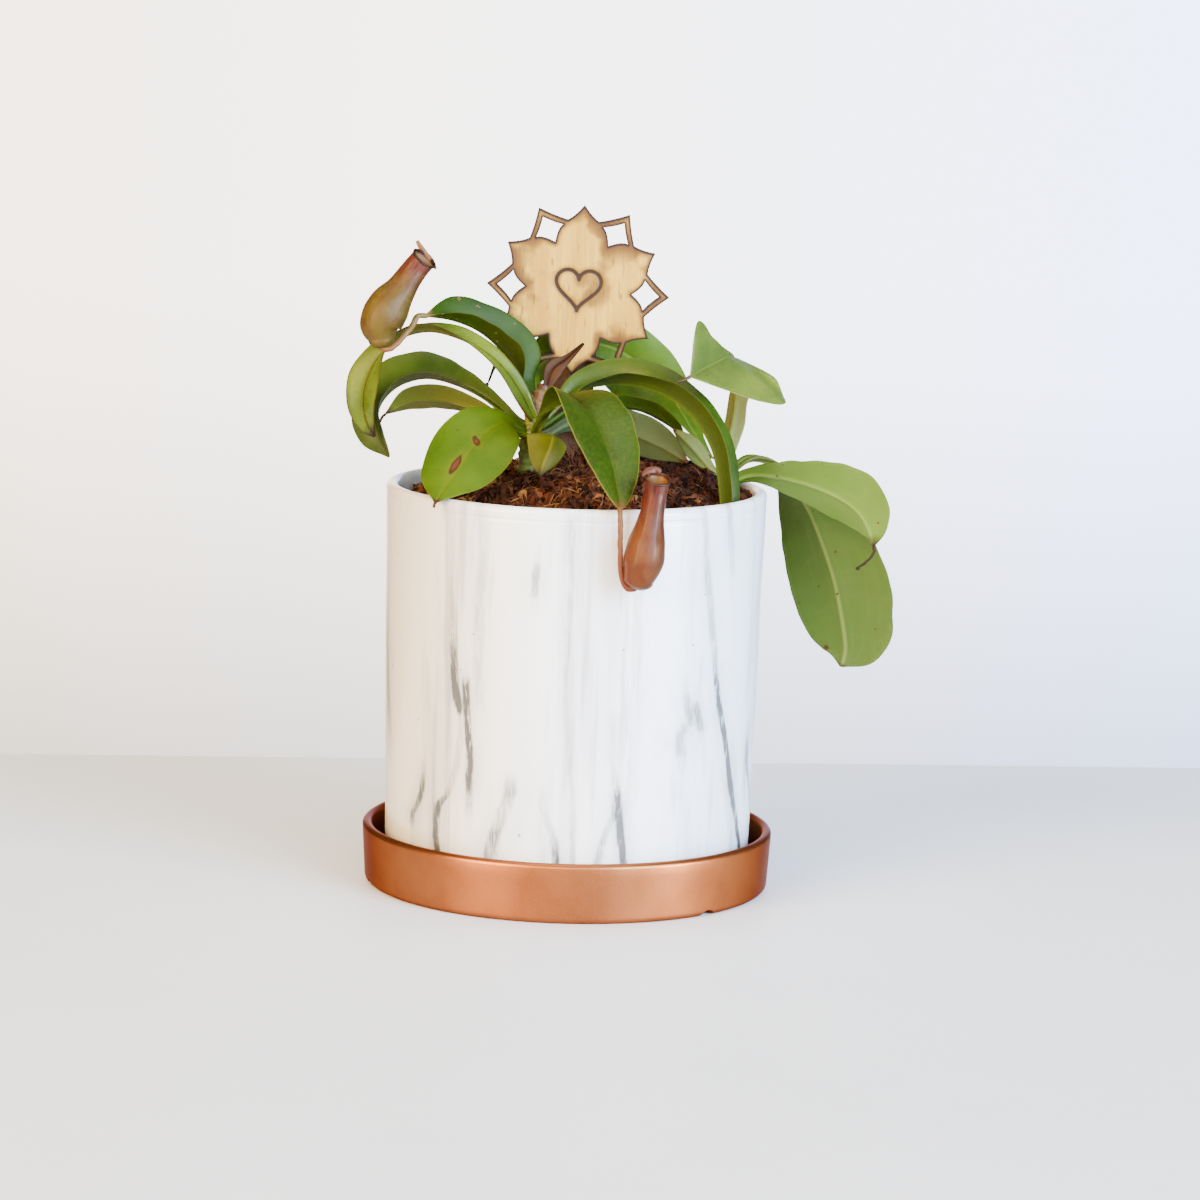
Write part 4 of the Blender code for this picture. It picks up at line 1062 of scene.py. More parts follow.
@dataclass
class Moss:
    """The moss that fills the pot: a lumpy bed and thousands of dried strands lying on it."""

    steps: int = 260
    rings: int = 96
    edge: float = 58.6
    bottom: float = 10.1
    most_reach: float = 58.2

    def bed(self) -> Surface:
        """The bed: rings of growing radius at the moss's height with fine lumps, closed down to its foot."""
        radius = self.edge * np.linspace(0.01, 1, self.rings) ** 0.85
        flat = revolved(np.stack([radius, radius], -1), self.steps)[..., :2]
        x, y = flat[..., 0], flat[..., 1]
        lumps = sum(share * soft_noise(flat, pitch, seed)
                    for share, pitch, seed in ((0.55, 4.5, 31), (0.45, 2.2, 32), (0.3, 1.1, 33)))
        top = np.stack([x, y, moss_height(x, y) - 0.9 + lumps], -1)
        lower = revolved(np.array([(57.6, 121.0), (56.6, 40.0), (53.0, self.bottom)]), self.steps)
        # Painted shade: the bed is toned dark like the gaps between strands, and darker still in the hollows
        # between its lumps.
        tone = 0.16 + 0.12 * soft_noise(flat, 9.0, 34) + 0.10 * lumps
        return skin(np.concatenate([top, lower]),
                    {"tone": np.concatenate([tone, np.full(lower.shape[:2], 0.1)])})

    @staticmethod
    def bunched(tufts: tuple[Tuft, ...], draw: np.random.Generator) -> tuple[np.ndarray, ...]:
        """Where the strands of the tufts start, with their headings, rises and tones."""
        rows = np.array([(*each.place, each.spread, each.way, each.rise, each.tone) for each in tufts])
        rows = np.repeat(rows, [each.count for each in tufts], axis=0)
        spread, way, rise, tone = rows.T[2:]
        count = len(rows)
        start = rows[:, :2] + draw.normal(0, 1, (count, 2)) * spread[:, None] * 0.5
        heading = np.radians(way) + draw.normal(0, 0.7, count)
        return start, heading, rise * draw.uniform(0.4, 1.4, count), tone + draw.normal(0, 0.08, count)

    def strewn(self, kind: StrandKind, draw: np.random.Generator) -> tuple[np.ndarray, ...]:
        """Where evenly strewn strands start, with their headings, rises and tones."""
        reach = self.most_reach * np.sqrt(draw.uniform(0, 1, kind.count))
        at = draw.uniform(0, 2 * np.pi, kind.count)
        start = np.stack([reach * np.cos(at), reach * np.sin(at)], -1)
        heading = draw.uniform(0, 2 * np.pi, kind.count)
        patches = soft_noise(start, 16.0, kind.seed + 50)
        # Painted shade: the tone falls towards the right side (+x), besides the random patches and spread.
        tone = kind.tone + 0.10 * patches - 0.0030 * start[:, 0] + draw.normal(0, 0.13, kind.count)
        return start, heading, np.zeros(kind.count), tone

    def strands(self, kind: StrandKind, tufts: tuple[Tuft, ...] = ()) -> Surface:
        """Strands on the moss: paths of wandering heading, each carrying a flat four-sided section.

        Args:
            kind: the kind of strand.
            tufts: bunches that take the place of an even spread.

        Returns:
            All strands of the kind as one surface.
        """
        draw = np.random.default_rng(kind.seed)
        count = sum(each.count for each in tufts) or kind.count
        step = draw.uniform(*kind.length, count)[:, None] / (kind.rings - 1)
        start, heading, rise, tone = self.bunched(tufts, draw) if tufts else self.strewn(kind, draw)
        t = np.linspace(0, 1, kind.rings)
        ways = heading[:, None] + draw.normal(0, kind.wander, (count, kind.rings)).cumsum(1)
        x = start[:, :1] + np.cumsum(np.cos(ways) * step, 1)
        y = start[:, 1:] + np.cumsum(np.sin(ways) * step, 1)
        inside = np.minimum(1.0, self.most_reach / np.maximum(np.hypot(x, y), 1e-6))
        x, y = x * inside, y * inside
        arch = draw.uniform(*kind.arch, count)[:, None] * np.sin(np.pi * t)[None]
        lift = draw.uniform(*kind.lift, count)[:, None] + arch + rise[:, None] * t[None] ** 1.3
        path = np.stack([x, y, moss_height(x, y) + lift], -1)
        along = unit(np.gradient(path, axis=1))
        side = unit(np.cross(along, np.array([0.05, 0.05, 1.0])))
        up = np.cross(side, along)
        twist = draw.uniform(0, np.pi, count)[:, None] + draw.normal(0, 1.2, (count, 1)) * t[None]
        twist = twist[..., None]
        wide = (side * np.cos(twist) + up * np.sin(twist))[:, :, None]
        thin = (up * np.cos(twist) - side * np.sin(twist))[:, :, None]
        beat = t[None] * draw.uniform(8, 22, (count, 1)) + draw.uniform(0, 6, (count, 1))
        knob = 1 + kind.knobs * np.sin(beat)
        taper = (np.sin(np.pi * (0.12 + 0.85 * t)) ** 0.6)[None] * knob
        half = (draw.uniform(*kind.half_width, count)[:, None] * taper)[..., None, None]
        corner = np.array([[1, 0], [0, 1], [-1, 0], [0, -1]], float)[None, None]
        points = path[:, :, None] + half * (corner[..., :1] * wide + corner[..., 1:] * thin * kind.flatness)
        return self.strand_surface(points, np.clip(tone, 0.02, 1.0), t)

    @staticmethod
    def strand_surface(points: np.ndarray, tone: np.ndarray, t: np.ndarray) -> Surface:
        """Closes every strand: quads between its rings and one over each end.

        Args:
            points: points as strand, ring, corner, coordinate.
            tone: one tone for each strand.
            t: the share along at each ring.

        Returns:
            The strands as one surface.
        """
        index = np.arange(points[..., 0].size).reshape(points.shape[:3])
        caps = np.vstack([index[:, 0, ::-1], index[:, -1]])
        shade = tone[:, None] + 0.08 * np.sin(np.pi * t)[None]
        marks = {"tone": np.repeat(shade.reshape(-1), points.shape[2])}
        faces = np.vstack([walls_between(index), caps])
        return Surface(points.reshape(-1, 3), faces, np.zeros((0, 3), int), marks).outward()

    def build(self) -> None:
        """Adds the bed and its strands."""
        shared = moss_tones()
        add_piece("moss_bed", self.bed(), MossFinish("moss_bed", 1100.0, 0.6, shared).material(),
                  ("growing_moss",), 180)
        finish = MossFinish("moss_strand", 1500.0, 0.15, shared).material()
        for kind in STRANDS:
            add_piece(kind.name, self.strands(kind), finish)
        straw = StrandKind("moss_straw", 0, 9, (5.0, 15.0), (0.18, 0.42), 0.4, 0.2, (0.2, 1.4), (0.2, 1.2),
                           0.8, 24)
        add_piece(straw.name, self.strands(straw, TUFTS), finish)


# Leaves and stems


def sheet_skin(grid: np.ndarray, top: np.ndarray, under: np.ndarray,
               marks: dict[str, np.ndarray]) -> Surface:
    """A thin closed skin round a middle surface: out by top on its upper side and by under below.

    Args:
        grid: the middle surface as row, column, coordinate.
        top: how far the upper side stands off, zero at both edges.
        under: how far the underside stands off, zero at both edges.
        marks: values on the grid.

    Returns:
        The skin, with the mark "under" from 0 above to 1 below.
    """
    normal = unit(np.cross(np.gradient(grid, axis=1), np.gradient(grid, axis=0)))
    upper = grid + normal * top[..., None]
    lower = grid - normal * under[..., None]
    rings = np.concatenate([upper, lower[:, -2:0:-1]], 1)
    values = {}
    for name, value in marks.items():
        full = np.broadcast_to(value, grid.shape[:2])
        values[name] = np.concatenate([full, full[:, -2:0:-1]], 1)
    below = np.zeros(rings.shape[:2])
    below[:, grid.shape[1]:] = 1.0
    below[:, [0, grid.shape[1] - 1]] = 0.5
    values["under"] = below
    return skin(rings, values)


@dataclass(frozen=True)
class Stem:
    """A stem: the points of its axis from the bottom up, and its radius at each."""

    name: str
    axis: tuple
    radius: tuple
    scars: tuple[float, ...]

    def at(self, height: float) -> tuple[np.ndarray, float]:
        """The centre and radius at a height."""
        fine = np.linspace(0, 1, 300)
        axis = curve_through(self.axis, fine)
        radius = curve_through(self.radius, fine)[:, 0]
        centre = np.array([np.interp(height, axis[:, 2], axis[:, k]) for k in range(3)])
        return centre, float(np.interp(height, axis[:, 2], radius))

    def surface(self) -> Surface:
        """The stem: a tube with a collar at each leaf scar, r + sum 0.45 exp(-((z - scar) / 0.7)^2)."""
        places = even_places(np.asarray(self.axis, float), 150)[0]
        turn = full_turn(44)
        middle, ring = tube_rings(self.axis, places, turn)
        height = middle[:, 0, 2]
        collar = sum(0.45 * np.exp(-(((height - scar) / 0.7) ** 2)) for scar in self.scars)
        dent = sum(0.3 * np.exp(-(((height - scar - 1.3) / 0.6) ** 2)) for scar in self.scars)
        size = curve_through(self.radius, places)[:, 0] + collar - dent
        size = size * np.sqrt(np.clip(1 - smooth(0.97, 1.0, places) * 0.8, 0, 1))
        rough = soft_noise(middle + ring * 3.0, 3.2, 41) * 0.10 + 0.05 * np.cos(9 * turn)[None]
        points = middle + ring * (size[:, None] + rough)[..., None]
        return skin(points, {"rise_mm": points[..., 2], "scar": np.clip(collar / 0.45, 0, 1)[:, None]})


STEMS = (
    Stem("stem_main",
         ((-16.2, -5, 112), (-16.5, -5, 140), (-16, -4.5, 150), (-14.5, -2.5, 158), (-12.5, 0.5, 164.5),
          (-11.6, 1.8, 167.5)), (3.4, 3.2, 3.0, 2.9, 2.6, 2.2),
         (140.0, 145.0, 149.0, 153.2, 157.4, 161.0, 164.2)),
    Stem("stem_side", ((46, 10, 112), (47, 11, 128), (48, 11.5, 134), (48.6, 12, 138.5)),
         (2.8, 2.7, 2.5, 2.0), (127.0, 131.0, 134.6, 137.2)),
)


@dataclass(frozen=True)
class StemFinish:
    """The stem's finish: green below, a pink crown and a brown dried top."""

    green: Colour
    pink: Colour
    brown: Colour
    scar: Colour
    pink_from: float
    brown_from: float

    def material(self, name: str) -> bpy.types.Material:
        """The skin, coloured by height with blotches and pale scars."""
        g = Finish(name, Subsurface_Weight=0.08, Subsurface_Scale=0.002, Specular_IOR_Level=0.2)
        rise = g.plus(g.mark("rise_mm"), g.swing(g.noise(260.0, 4.0), 7.0))
        blotch = g.noise(500.0)
        colour = g.mix(g.span(blotch, 0.4, 0.65, 0.0, 0.5), self.green, self.scar)
        colour = g.mix(g.span(rise, self.pink_from - 1, self.pink_from + 2), colour, self.pink)
        colour = g.mix(g.span(rise, self.brown_from - 1, self.brown_from + 1), colour, self.brown)
        colour = g.mix(g.times(g.mark("scar"), 0.5), colour, self.scar)
        return g.done(Base_Color=colour, Roughness=g.span(blotch, 0.3, 0.7, 0.3, 0.5),
                      Normal=g.bump(blotch, 0.4, 0.3))


STEM_FINISHES = {
    "stem_main": StemFinish(*shades((164, 182, 60), (176, 112, 72), (120, 78, 44), (170, 160, 80)),
                            157.0, 165.0),
    "stem_side": StemFinish(*shades((140, 150, 64), (160, 140, 84), (120, 84, 56), (170, 160, 96)),
                            136.0, 150.0),
}


@dataclass(frozen=True)
class Spot:
    """A dead patch on a leaf: its place along and across, its radius in millimetres and its other end."""

    share: float
    across: float
    radius: float
    end: tuple[float, float] | None = None


@dataclass(frozen=True)
class Blade:
    """A leaf seated on a stem.

    seat is the compass angle round the stem and the height of the leaf's base there. spine holds the
    other points of the midrib, face the directions that the upper side looks in, left and right the
    half widths, and fold the angles in degrees that the two halves rise by, all evenly spread.
    """

    name: str
    stem: str
    seat: tuple
    spine: tuple
    face: tuple
    left: tuple
    right: tuple
    fold: tuple
    bow: float = 10.0
    ripple: float = 0.14

    def path(self) -> np.ndarray:
        """The midrib's points, the first of them inside the stem."""
        stem = next(each for each in STEMS if each.name == self.stem)
        angle, height = (float(each) for each in self.seat)
        top = np.array(stem.axis[-1], float)
        if height > top[2]:
            return np.vstack([top - [0, 0, 1.0], self.spine])
        centre, radius = stem.at(height)
        out = np.array([math.cos(math.radians(angle)), math.sin(math.radians(angle)), 0.0])
        return np.vstack([centre + (radius - 0.7) * out, self.spine])

    def section(self, fold: np.ndarray, reach: np.ndarray) -> tuple[np.ndarray, np.ndarray]:
        """How far out and up the blade goes at each share of its half width.

        The slope at share s is the fold plus the bow times (1 - 2 s), and out and up are the running
        sums of its cosine and sine.

        Args:
            fold: the fold of each row in radians.
            reach: the shares, from 0 at the midrib to 1 at the edge.

        Returns:
            Out and up as row, share.
        """
        slope = fold[:, None] + math.radians(self.bow) * (1 - 2 * reach[None])
        middle = (slope[:, 1:] + slope[:, :-1]) / 2
        step = np.diff(reach)[None]
        start = np.zeros((len(fold), 1))
        out = np.concatenate([start, np.cumsum(np.cos(middle) * step, 1)], 1)
        up = np.concatenate([start, np.cumsum(np.sin(middle) * step, 1)], 1)
        return out, up

    def frame(self, spine: np.ndarray, places: np.ndarray) -> tuple[np.ndarray, np.ndarray, np.ndarray]:
        """The midrib's points, and at each the directions to the right and out of the upper side."""
        middle = curve_through(spine, places)
        along = unit(np.gradient(middle, axis=0))
        face = curve_through(self.face, places)
        face = unit(face - (face * along).sum(1, keepdims=True) * along)
        return middle, np.cross(along, face), face

    def halves(self, places: np.ndarray, run: np.ndarray,
               clasp: np.ndarray) -> list[tuple[np.ndarray, np.ndarray]]:
        """The half width of the left and the right side, and how far each edge ripples up.

        Args:
            places: the rows' places on the midrib.
            run: the rows' distances along it.
            clasp: how far each row clasps the stem, from 0 to 1.

        Returns:
            Half width and ripple for each side.
        """
        draw = np.random.default_rng(sum(ord(letter) for letter in self.name))
        made = []
        for given in (self.left, self.right):
            width = np.maximum(curve_through(given, places)[:, 0], 0.45) + clasp
            phase = draw.uniform(0, 2 * np.pi, 4)
            pitch = draw.uniform(7.0, 26.0, 4)
            waves = np.sin(2 * np.pi * run[:, None] / pitch[None] + phase[None])
            width = width * (1 + 0.006 * waves[:, 2:].sum(1))
            swing = self.ripple * np.clip(width / 8, 0, 1) * waves[:, :3].sum(1) / 1.6
            made.append((width[:, None], swing[:, None]))
        return made

    def surface(self, spots: tuple[Spot, ...]) -> Surface:
        """The blade: rows across the midrib, folded and rippled, a groove above and a keel below.

        Args:
            spots: its dead patches.

        Returns:
            The closed skin with the marks that the leaf finish reads.
        """
        spine = self.path()
        length = even_places(spine, 2)[1]
        rows = int(np.clip(length / 0.85, 40, 175))
        level = np.linspace(0, 1, rows)
        share = 1 - (1 - level) ** 1.15
        places = np.interp(share, level, even_places(spine, rows)[0])
        run = share * length
        clasp = np.exp(-((run / 3.0) ** 2))
        reach = np.sin(np.linspace(0, np.pi / 2, 17))
        out, up = self.section(np.radians(curve_through(self.fold, places)[:, 0] + 30 * clasp), reach)
        sides = self.halves(places, run, clasp)
        left, right = (up * width + swing * reach[None] ** 2.2 for width, swing in sides)
        (wide_left, _), (wide_right, _) = sides
        lifts = np.concatenate([left[:, :0:-1], right], 1)
        outs = np.concatenate([(-out * wide_left)[:, :0:-1], out * wide_right], 1)
        across = np.concatenate([-reach[:0:-1], reach])[None]
        half = np.where(across < 0, wide_left, wide_right)
        middle, side, face = self.frame(spine, places)
        grid = middle[:, None] + side[:, None] * outs[..., None] + face[:, None] * lifts[..., None]
        off_rib = np.abs(across) * half
        stalk = ((1 - smooth(2.0, 5.0, half.mean(1))) * (1 - smooth(0.15, 0.45, share)))[:, None]
        closing = np.sqrt(np.clip((length - run) / 1.2, 0.02, 1))[:, None]
        body = (0.26 + 0.5 * stalk) * np.sqrt(np.clip(1 - np.abs(across) ** 6, 0, 1)) * closing
        groove = 0.2 * np.exp(-((off_rib / 0.5) ** 2)) * closing
        keel = (0.55 - 0.4 * share[:, None]) * np.exp(-((off_rib / 0.75) ** 2)) * closing
        rim = (np.abs(across) < 1).astype(float)
        marks = {
            "across": across, "run_mm": run[:, None], "tip_mm": (length - run)[:, None], "rib_mm": off_rib,
            "edge_mm": (1 - np.abs(across)) * half, "lesion": self.patches(grid, spots, share, across),
        }
        return sheet_skin(grid, np.maximum(body - groove, 0.05) * rim, (body + keel) * rim, marks)

    @staticmethod
    def patches(grid: np.ndarray, spots: tuple[Spot, ...], share: np.ndarray,
                across: np.ndarray) -> np.ndarray:
        """The mark field of the dead patches, 1 - distance / radius, from the line between a patch's ends.

        Args:
            grid: the blade's middle surface.
            spots: the patches.
            share: the share along at each row.
            across: the share across at each column.

        Returns:
            The field, from -2 outside to 1 at a patch's middle.
        """
        lesion = np.full(grid.shape[:2], -2.0)
        for spot in spots:
            ends = [grid[np.abs(share - along).argmin(), np.abs(across[0] - beside).argmin()]
                    for along, beside in ((spot.share, spot.across), spot.end or (spot.share, spot.across))]
            way = (ends[1] - ends[0]) / 2
            half = float(np.linalg.norm(way))
            off = grid - (ends[0] + ends[1]) / 2
            along = off @ way / max(half, 1e-9)
            beside = np.sqrt(np.maximum((off**2).sum(-1) - along**2, 0))
            reach = np.hypot(along / (half + spot.radius), beside / spot.radius)
            lesion = np.maximum(lesion, 1 - reach)
        return lesion


BLADES = (
    Blade("leaf_upper_left", "stem_main", (180, 162),
          ((-19.8, 1.5, 168), (-23, 2.5, 174.5), (-28.3, 3, 180.5), (-35, 1, 185.5), (-43, -4, 188.8),
           (-51.3, -11, 190.5)), ((0.8, -0.5, 0.3), (0.75, -0.2, 0.6), (0.45, -0.2, 0.85), (0.15, -0.2, 1)),
          (0.8, 4, 8, 7, 6, 5, 0.5), (0.8, 6, 11.5, 11, 9.5, 8, 0.5), (30, 58, 60, 45)),
    Blade("leaf_long_left", "stem_main", (250, 157),
          ((-19, -8, 164.5), (-24.5, -8.5, 172.5), (-31.5, -8.5, 178.8), (-40, -7.5, 183.2),
           (-50, -6.5, 185.2), (-59.5, -6, 182.5), (-66.2, -6, 176), (-70.2, -6, 168), (-71.2, -6, 160),
           (-69.7, -5.5, 153.2), (-67.3, -5, 149.2)),
          ((0.4, -0.9, 0.2), (0.4, -0.7, 0.5), (0.3, -0.45, 0.8), (0, 0.1, 1), (-0.5, -0.6, 0.5),
           (-0.6, -0.8, 0.1), (-0.4, -0.9, 0)), (1.4, 3.6, 4.4, 4.6, 4.8, 5, 6, 8.5, 9, 7, 3.5, 0.5),
          (1.4, 3.3, 3.6, 4, 4.5, 5, 5.2, 6, 7, 6, 3.5, 0.5), (15, 25, 30, 25, 20, 15)),
    Blade("leaf_middle_left", "stem_main", (203, 153.5),
          ((-23.5, -2, 157.2), (-31, 3, 162), (-41, 7, 166.2), (-51.5, 8, 168), (-61, 7, 164.8),
           (-66.6, 4.5, 157.8), (-65.8, 3, 149.2), (-62.6, 2, 141.7)),
          ((0.5, -0.6, 0.6), (0.3, -0.6, 0.8), (0.1, -0.45, 1), (-0.5, -0.4, 0.8), (-0.8, -0.6, 0.1),
           (-0.7, -0.7, -0.2)), (1.0, 2.8, 5.5, 7.8, 9.3, 9, 8, 7, 0.5),
          (1.0, 2.6, 4, 6.5, 9.5, 10.5, 9.5, 8.5, 0.5), (20, 35, 40, 35, 20)),
    Blade("leaf_low_left", "stem_main", (150, 150.5),
          ((-25, 7, 154), (-34, 14, 157), (-45, 19, 159.2), (-56.5, 21.5, 158.5), (-65, 21, 154)),
          ((0.3, 0.5, 0.8), (0.1, 0.55, 0.8), (-0.1, 0.6, 0.8), (-0.4, 0.6, 0.7)), (2, 5, 7.5, 8.5, 7, 0.5),
          (2, 5, 8.5, 9.5, 8, 0.5), (10, 10)),
    Blade("leaf_front_left", "stem_main", (232, 151.5),
          ((-23, -12.5, 156), (-28, -18, 155.2), (-33, -25, 151.3), (-37.5, -33, 145.5),
           (-41.5, -41, 139.5), (-45.4, -50, 134)),
          ((0.0, -0.7, 0.7), (-0.1, -0.75, 0.65), (-0.15, -0.75, 0.65), (-0.2, -0.7, 0.6)),
          (2, 6, 11.5, 14, 13.5, 9.5, 0.5), (1.5, 5, 11, 14, 13.2, 9.8, 0.5), (10, 5, -6, -4), 6.0, 0.2),
    Blade("leaf_front", "stem_main", (300, 150.5),
          ((-13, -11, 157), (-10.5, -16, 161), (-5.5, -22.5, 164.4), (0.5, -30.5, 164.7), (5, -39, 160.5),
           (8.8, -48, 154.2), (11.6, -57, 147), (13.5, -65, 139), (14, -68.5, 135.6)),
          ((0.8, -0.3, 0.4), (0.5, -0.4, 0.8), (0.35, -0.35, 1), (0.25, -0.5, 0.9), (0.3, -0.7, 0.6),
           (0.3, -0.8, 0.5)), (1.8, 2.2, 2.8, 6.5, 11.5, 12, 11, 8.5, 4, 0.5),
          (1.8, 2.2, 2.8, 7.5, 12.5, 13, 12, 9, 4, 0.5), (35, 35, 22, 12, 8)),
    Blade("leaf_small_front", "stem_main", (270, 146.5),
          ((-11.5, -13.5, 152), (-8.5, -18.5, 153), (-9, -23, 149.5), (-11, -25.5, 144.5),
           (-12, -26.5, 140.5)), ((0.6, 0.2, 0.8), (0.5, -0.6, 0.7), (0.4, -0.9, 0.3), (0.3, -0.95, 0.1)),
          (2, 4, 6.5, 6, 4, 0.5), (2, 4, 8.5, 8, 5, 0.5), (-10, -20, -20)),
    Blade("leaf_big_arch", "stem_main", (0, 154),
          ((-7, 2, 160.5), (0.5, 5.5, 165.8), (10.5, 5.5, 168), (20, 2.5, 168), (30, -2, 165),
           (38.2, -8.5, 159), (44, -15, 150.3), (46.5, -19.5, 141), (47.8, -22.5, 130.3)),
          ((-0.4, -0.7, 0.6), (0, -0.6, 0.9), (0.3, -0.5, 1), (0.8, -0.3, 0.6), (0.95, -0.2, 0.2),
           (0.95, -0.2, 0.1)), (0.7, 2.4, 6.0, 8.6, 9, 8.8, 8.8, 8.8, 8, 6.5),
          (1.2, 3.5, 6, 7.5, 8, 7.5, 7.5, 7, 6.5, 6), (30, 50, 52, 50, 50), 16.0),
    Blade("leaf_behind_plaque", "stem_main", (90, 154),
          ((-15.2, 8, 159.5), (-17, 15.5, 165), (-14, 22.8, 171.5), (-6, 28, 176.5), (2, 32, 178.5),
           (10, 34, 177.5), (17, 34.5, 174), (23, 34, 169.5), (29, 32, 164), (35, 28, 156), (39.5, 23, 149),
           (45, 17, 142.5)),
          ((0.2, -0.9, 0.3), (0.3, -0.9, 0.3), (0.1, -0.95, 0.3), (0.1, -1, 0.25), (0.3, -1, 0.2),
           (0.7, -0.7, 0.2), (0.9, -0.3, 0.2)), (1.4, 2.8, 3.2, 6, 9.5, 10.5, 11, 11, 10.5, 9, 7, 5, 2.5),
          (1.4, 2.8, 3.2, 5, 8, 10, 12, 14, 14.5, 12, 8.5, 5.5, 2.5), (15, 10, 8, 10)),
    Blade("leaf_back_left", "stem_main", (140, 160),
          ((-20.5, 6.5, 165), (-22, 14, 171), (-24.2, 20.5, 174.3), (-26.8, 24.5, 174), (-29, 26, 170),
           (-31, 27, 164.6)), ((0.5, -0.6, 0.7), (0.2, -0.5, 0.85), (-0.3, -0.1, 0.9), (-0.8, 0.1, 0.5)),
          (1.2, 3, 4, 5, 4.5, 1.5, 0.5), (1.2, 3, 4, 5, 4.5, 1.5, 0.5), (10, 10)),
    Blade("leaf_dark_back", "stem_main", (35, 152),
          ((-5, 5, 157), (4, 8.4, 159.2), (14, 12.5, 160), (24, 16.5, 157.5), (32, 18, 152.5),
           (36.5, 18, 147.5)), ((0, 0.5, 0.8), (0, 0.5, 0.8), (0.3, 0.4, 0.8), (0.6, 0.3, 0.6)),
          (1.2, 3, 5, 6.5, 6.5, 4.5, 0.5), (1.2, 3, 6, 7.5, 7.5, 5, 0.5), (10, 10)),
    Blade("leaf_pale_under", "stem_main", (8, 149.5),
          ((-3, 2.5, 154.5), (8, 5.5, 154.5), (18, 6.5, 151.5), (28, 6, 147.5), (37, 4.5, 142.5)),
          ((0, 0.6, 0.7), (0, 0.8, 0.5), (0.2, 0.85, 0.4), (0.4, 0.85, 0.3)), (2, 4, 7.5, 8.5, 6.5, 0.5),
          (2, 4, 7.5, 8.5, 7, 0.5), (5, 5)),
    Blade("leaf_right_top", "stem_side", (105, 136),
          ((49.8, 18.5, 144), (52.3, 23.5, 154), (53.2, 26, 163), (53.5, 24.5, 171), (51.5, 18.5, 176.7),
           (48.5, 10, 177.5), (44.5, 1, 176.3), (40.2, -8, 174.9), (36.2, -15, 173.3)),
          ((0.4, 0.9, 0), (0.4, 0.85, 0.2), (0.6, 0.6, 0.5), (0.84, 0.1, 0.52), (0.86, -0.1, 0.5),
           (0.86, -0.1, 0.5)), (2, 3, 4, 4.5, 10, 18.5, 25.5, 21, 10.5, 0.5),
          (2, 3, 4, 4, 2, 0.9, 3.2, 9.2, 16.5, 0.5), (20, 15, 25, 25), 8.0, 0.12),
    Blade("leaf_right_side", "stem_side", (-30, 134.5),
          ((57, 7, 138.4), (66, 2, 139), (77, -4, 137.4), (87, -9, 134), (93.5, -13, 129.7),
           (97, -15.5, 124), (98.5, -16, 118.8)),
          ((0, 0.7, 0.7), (0.1, 0.75, 0.6), (0.3, 0.8, 0.5), (0.6, 0.75, 0.3), (0.8, 0.6, 0)),
          (1.5, 4, 8, 11, 12, 10, 5, 0.5), (1.5, 3, 6, 9.5, 12.5, 12.5, 8, 0.5), (5, 5, 15, 15), 6.0),
    Blade("leaf_right_hanging", "stem_side", (15, 137),
          ((57, 20, 142), (64, 23, 141.5), (71, 25, 136.5), (77, 25, 128), (82, 23, 118.5), (88, 19, 102.5),
           (91.5, 16, 87), (92.5, 15, 78.5), (91.2, 14, 73.2)),
          ((0.2, -0.3, 0.9), (0.4, 0.2, 0.8), (0.7, 0.6, 0.4), (0.5, 0.85, 0.2), (0.3, 0.9, 0),
           (0.3, 0.9, 0)), (1.0, 2, 3.2, 13, 19.8, 19, 18, 13.5, 8, 0.5),
          (1.0, 2, 2.5, 4, 9, 15, 19, 17.5, 13, 0.5), (20, 15, 5, 5), 5.0, 0.2),
    Blade("leaf_pale_tip", "stem_side", (185, 137),
          ((43, 12, 141.5), (39.2, 11.3, 145.8), (35.6, 10.8, 149.5), (31.9, 10.5, 152.8)),
          ((-0.6, 0.6, 0.3), (-0.5, 0.7, 0.5), (-0.4, 0.7, 0.6)), (0.7, 2.5, 3.5, 2.5, 0.5),
          (0.7, 2.5, 3.5, 2.5, 0.5), (10, 10)),
    Blade("leaf_dried", "stem_main", (0, 168), ((-9, 3.6, 172.5), (-4.5, 4.8, 176), (1, 3.5, 181.5)),
          ((0.3, -0.9, 0.2), (0.3, -0.9, 0.2)), (2, 3.5, 1.8, 0.5), (2, 3.5, 1.8, 0.5), (30, 20), 25.0,
          0.8),
)
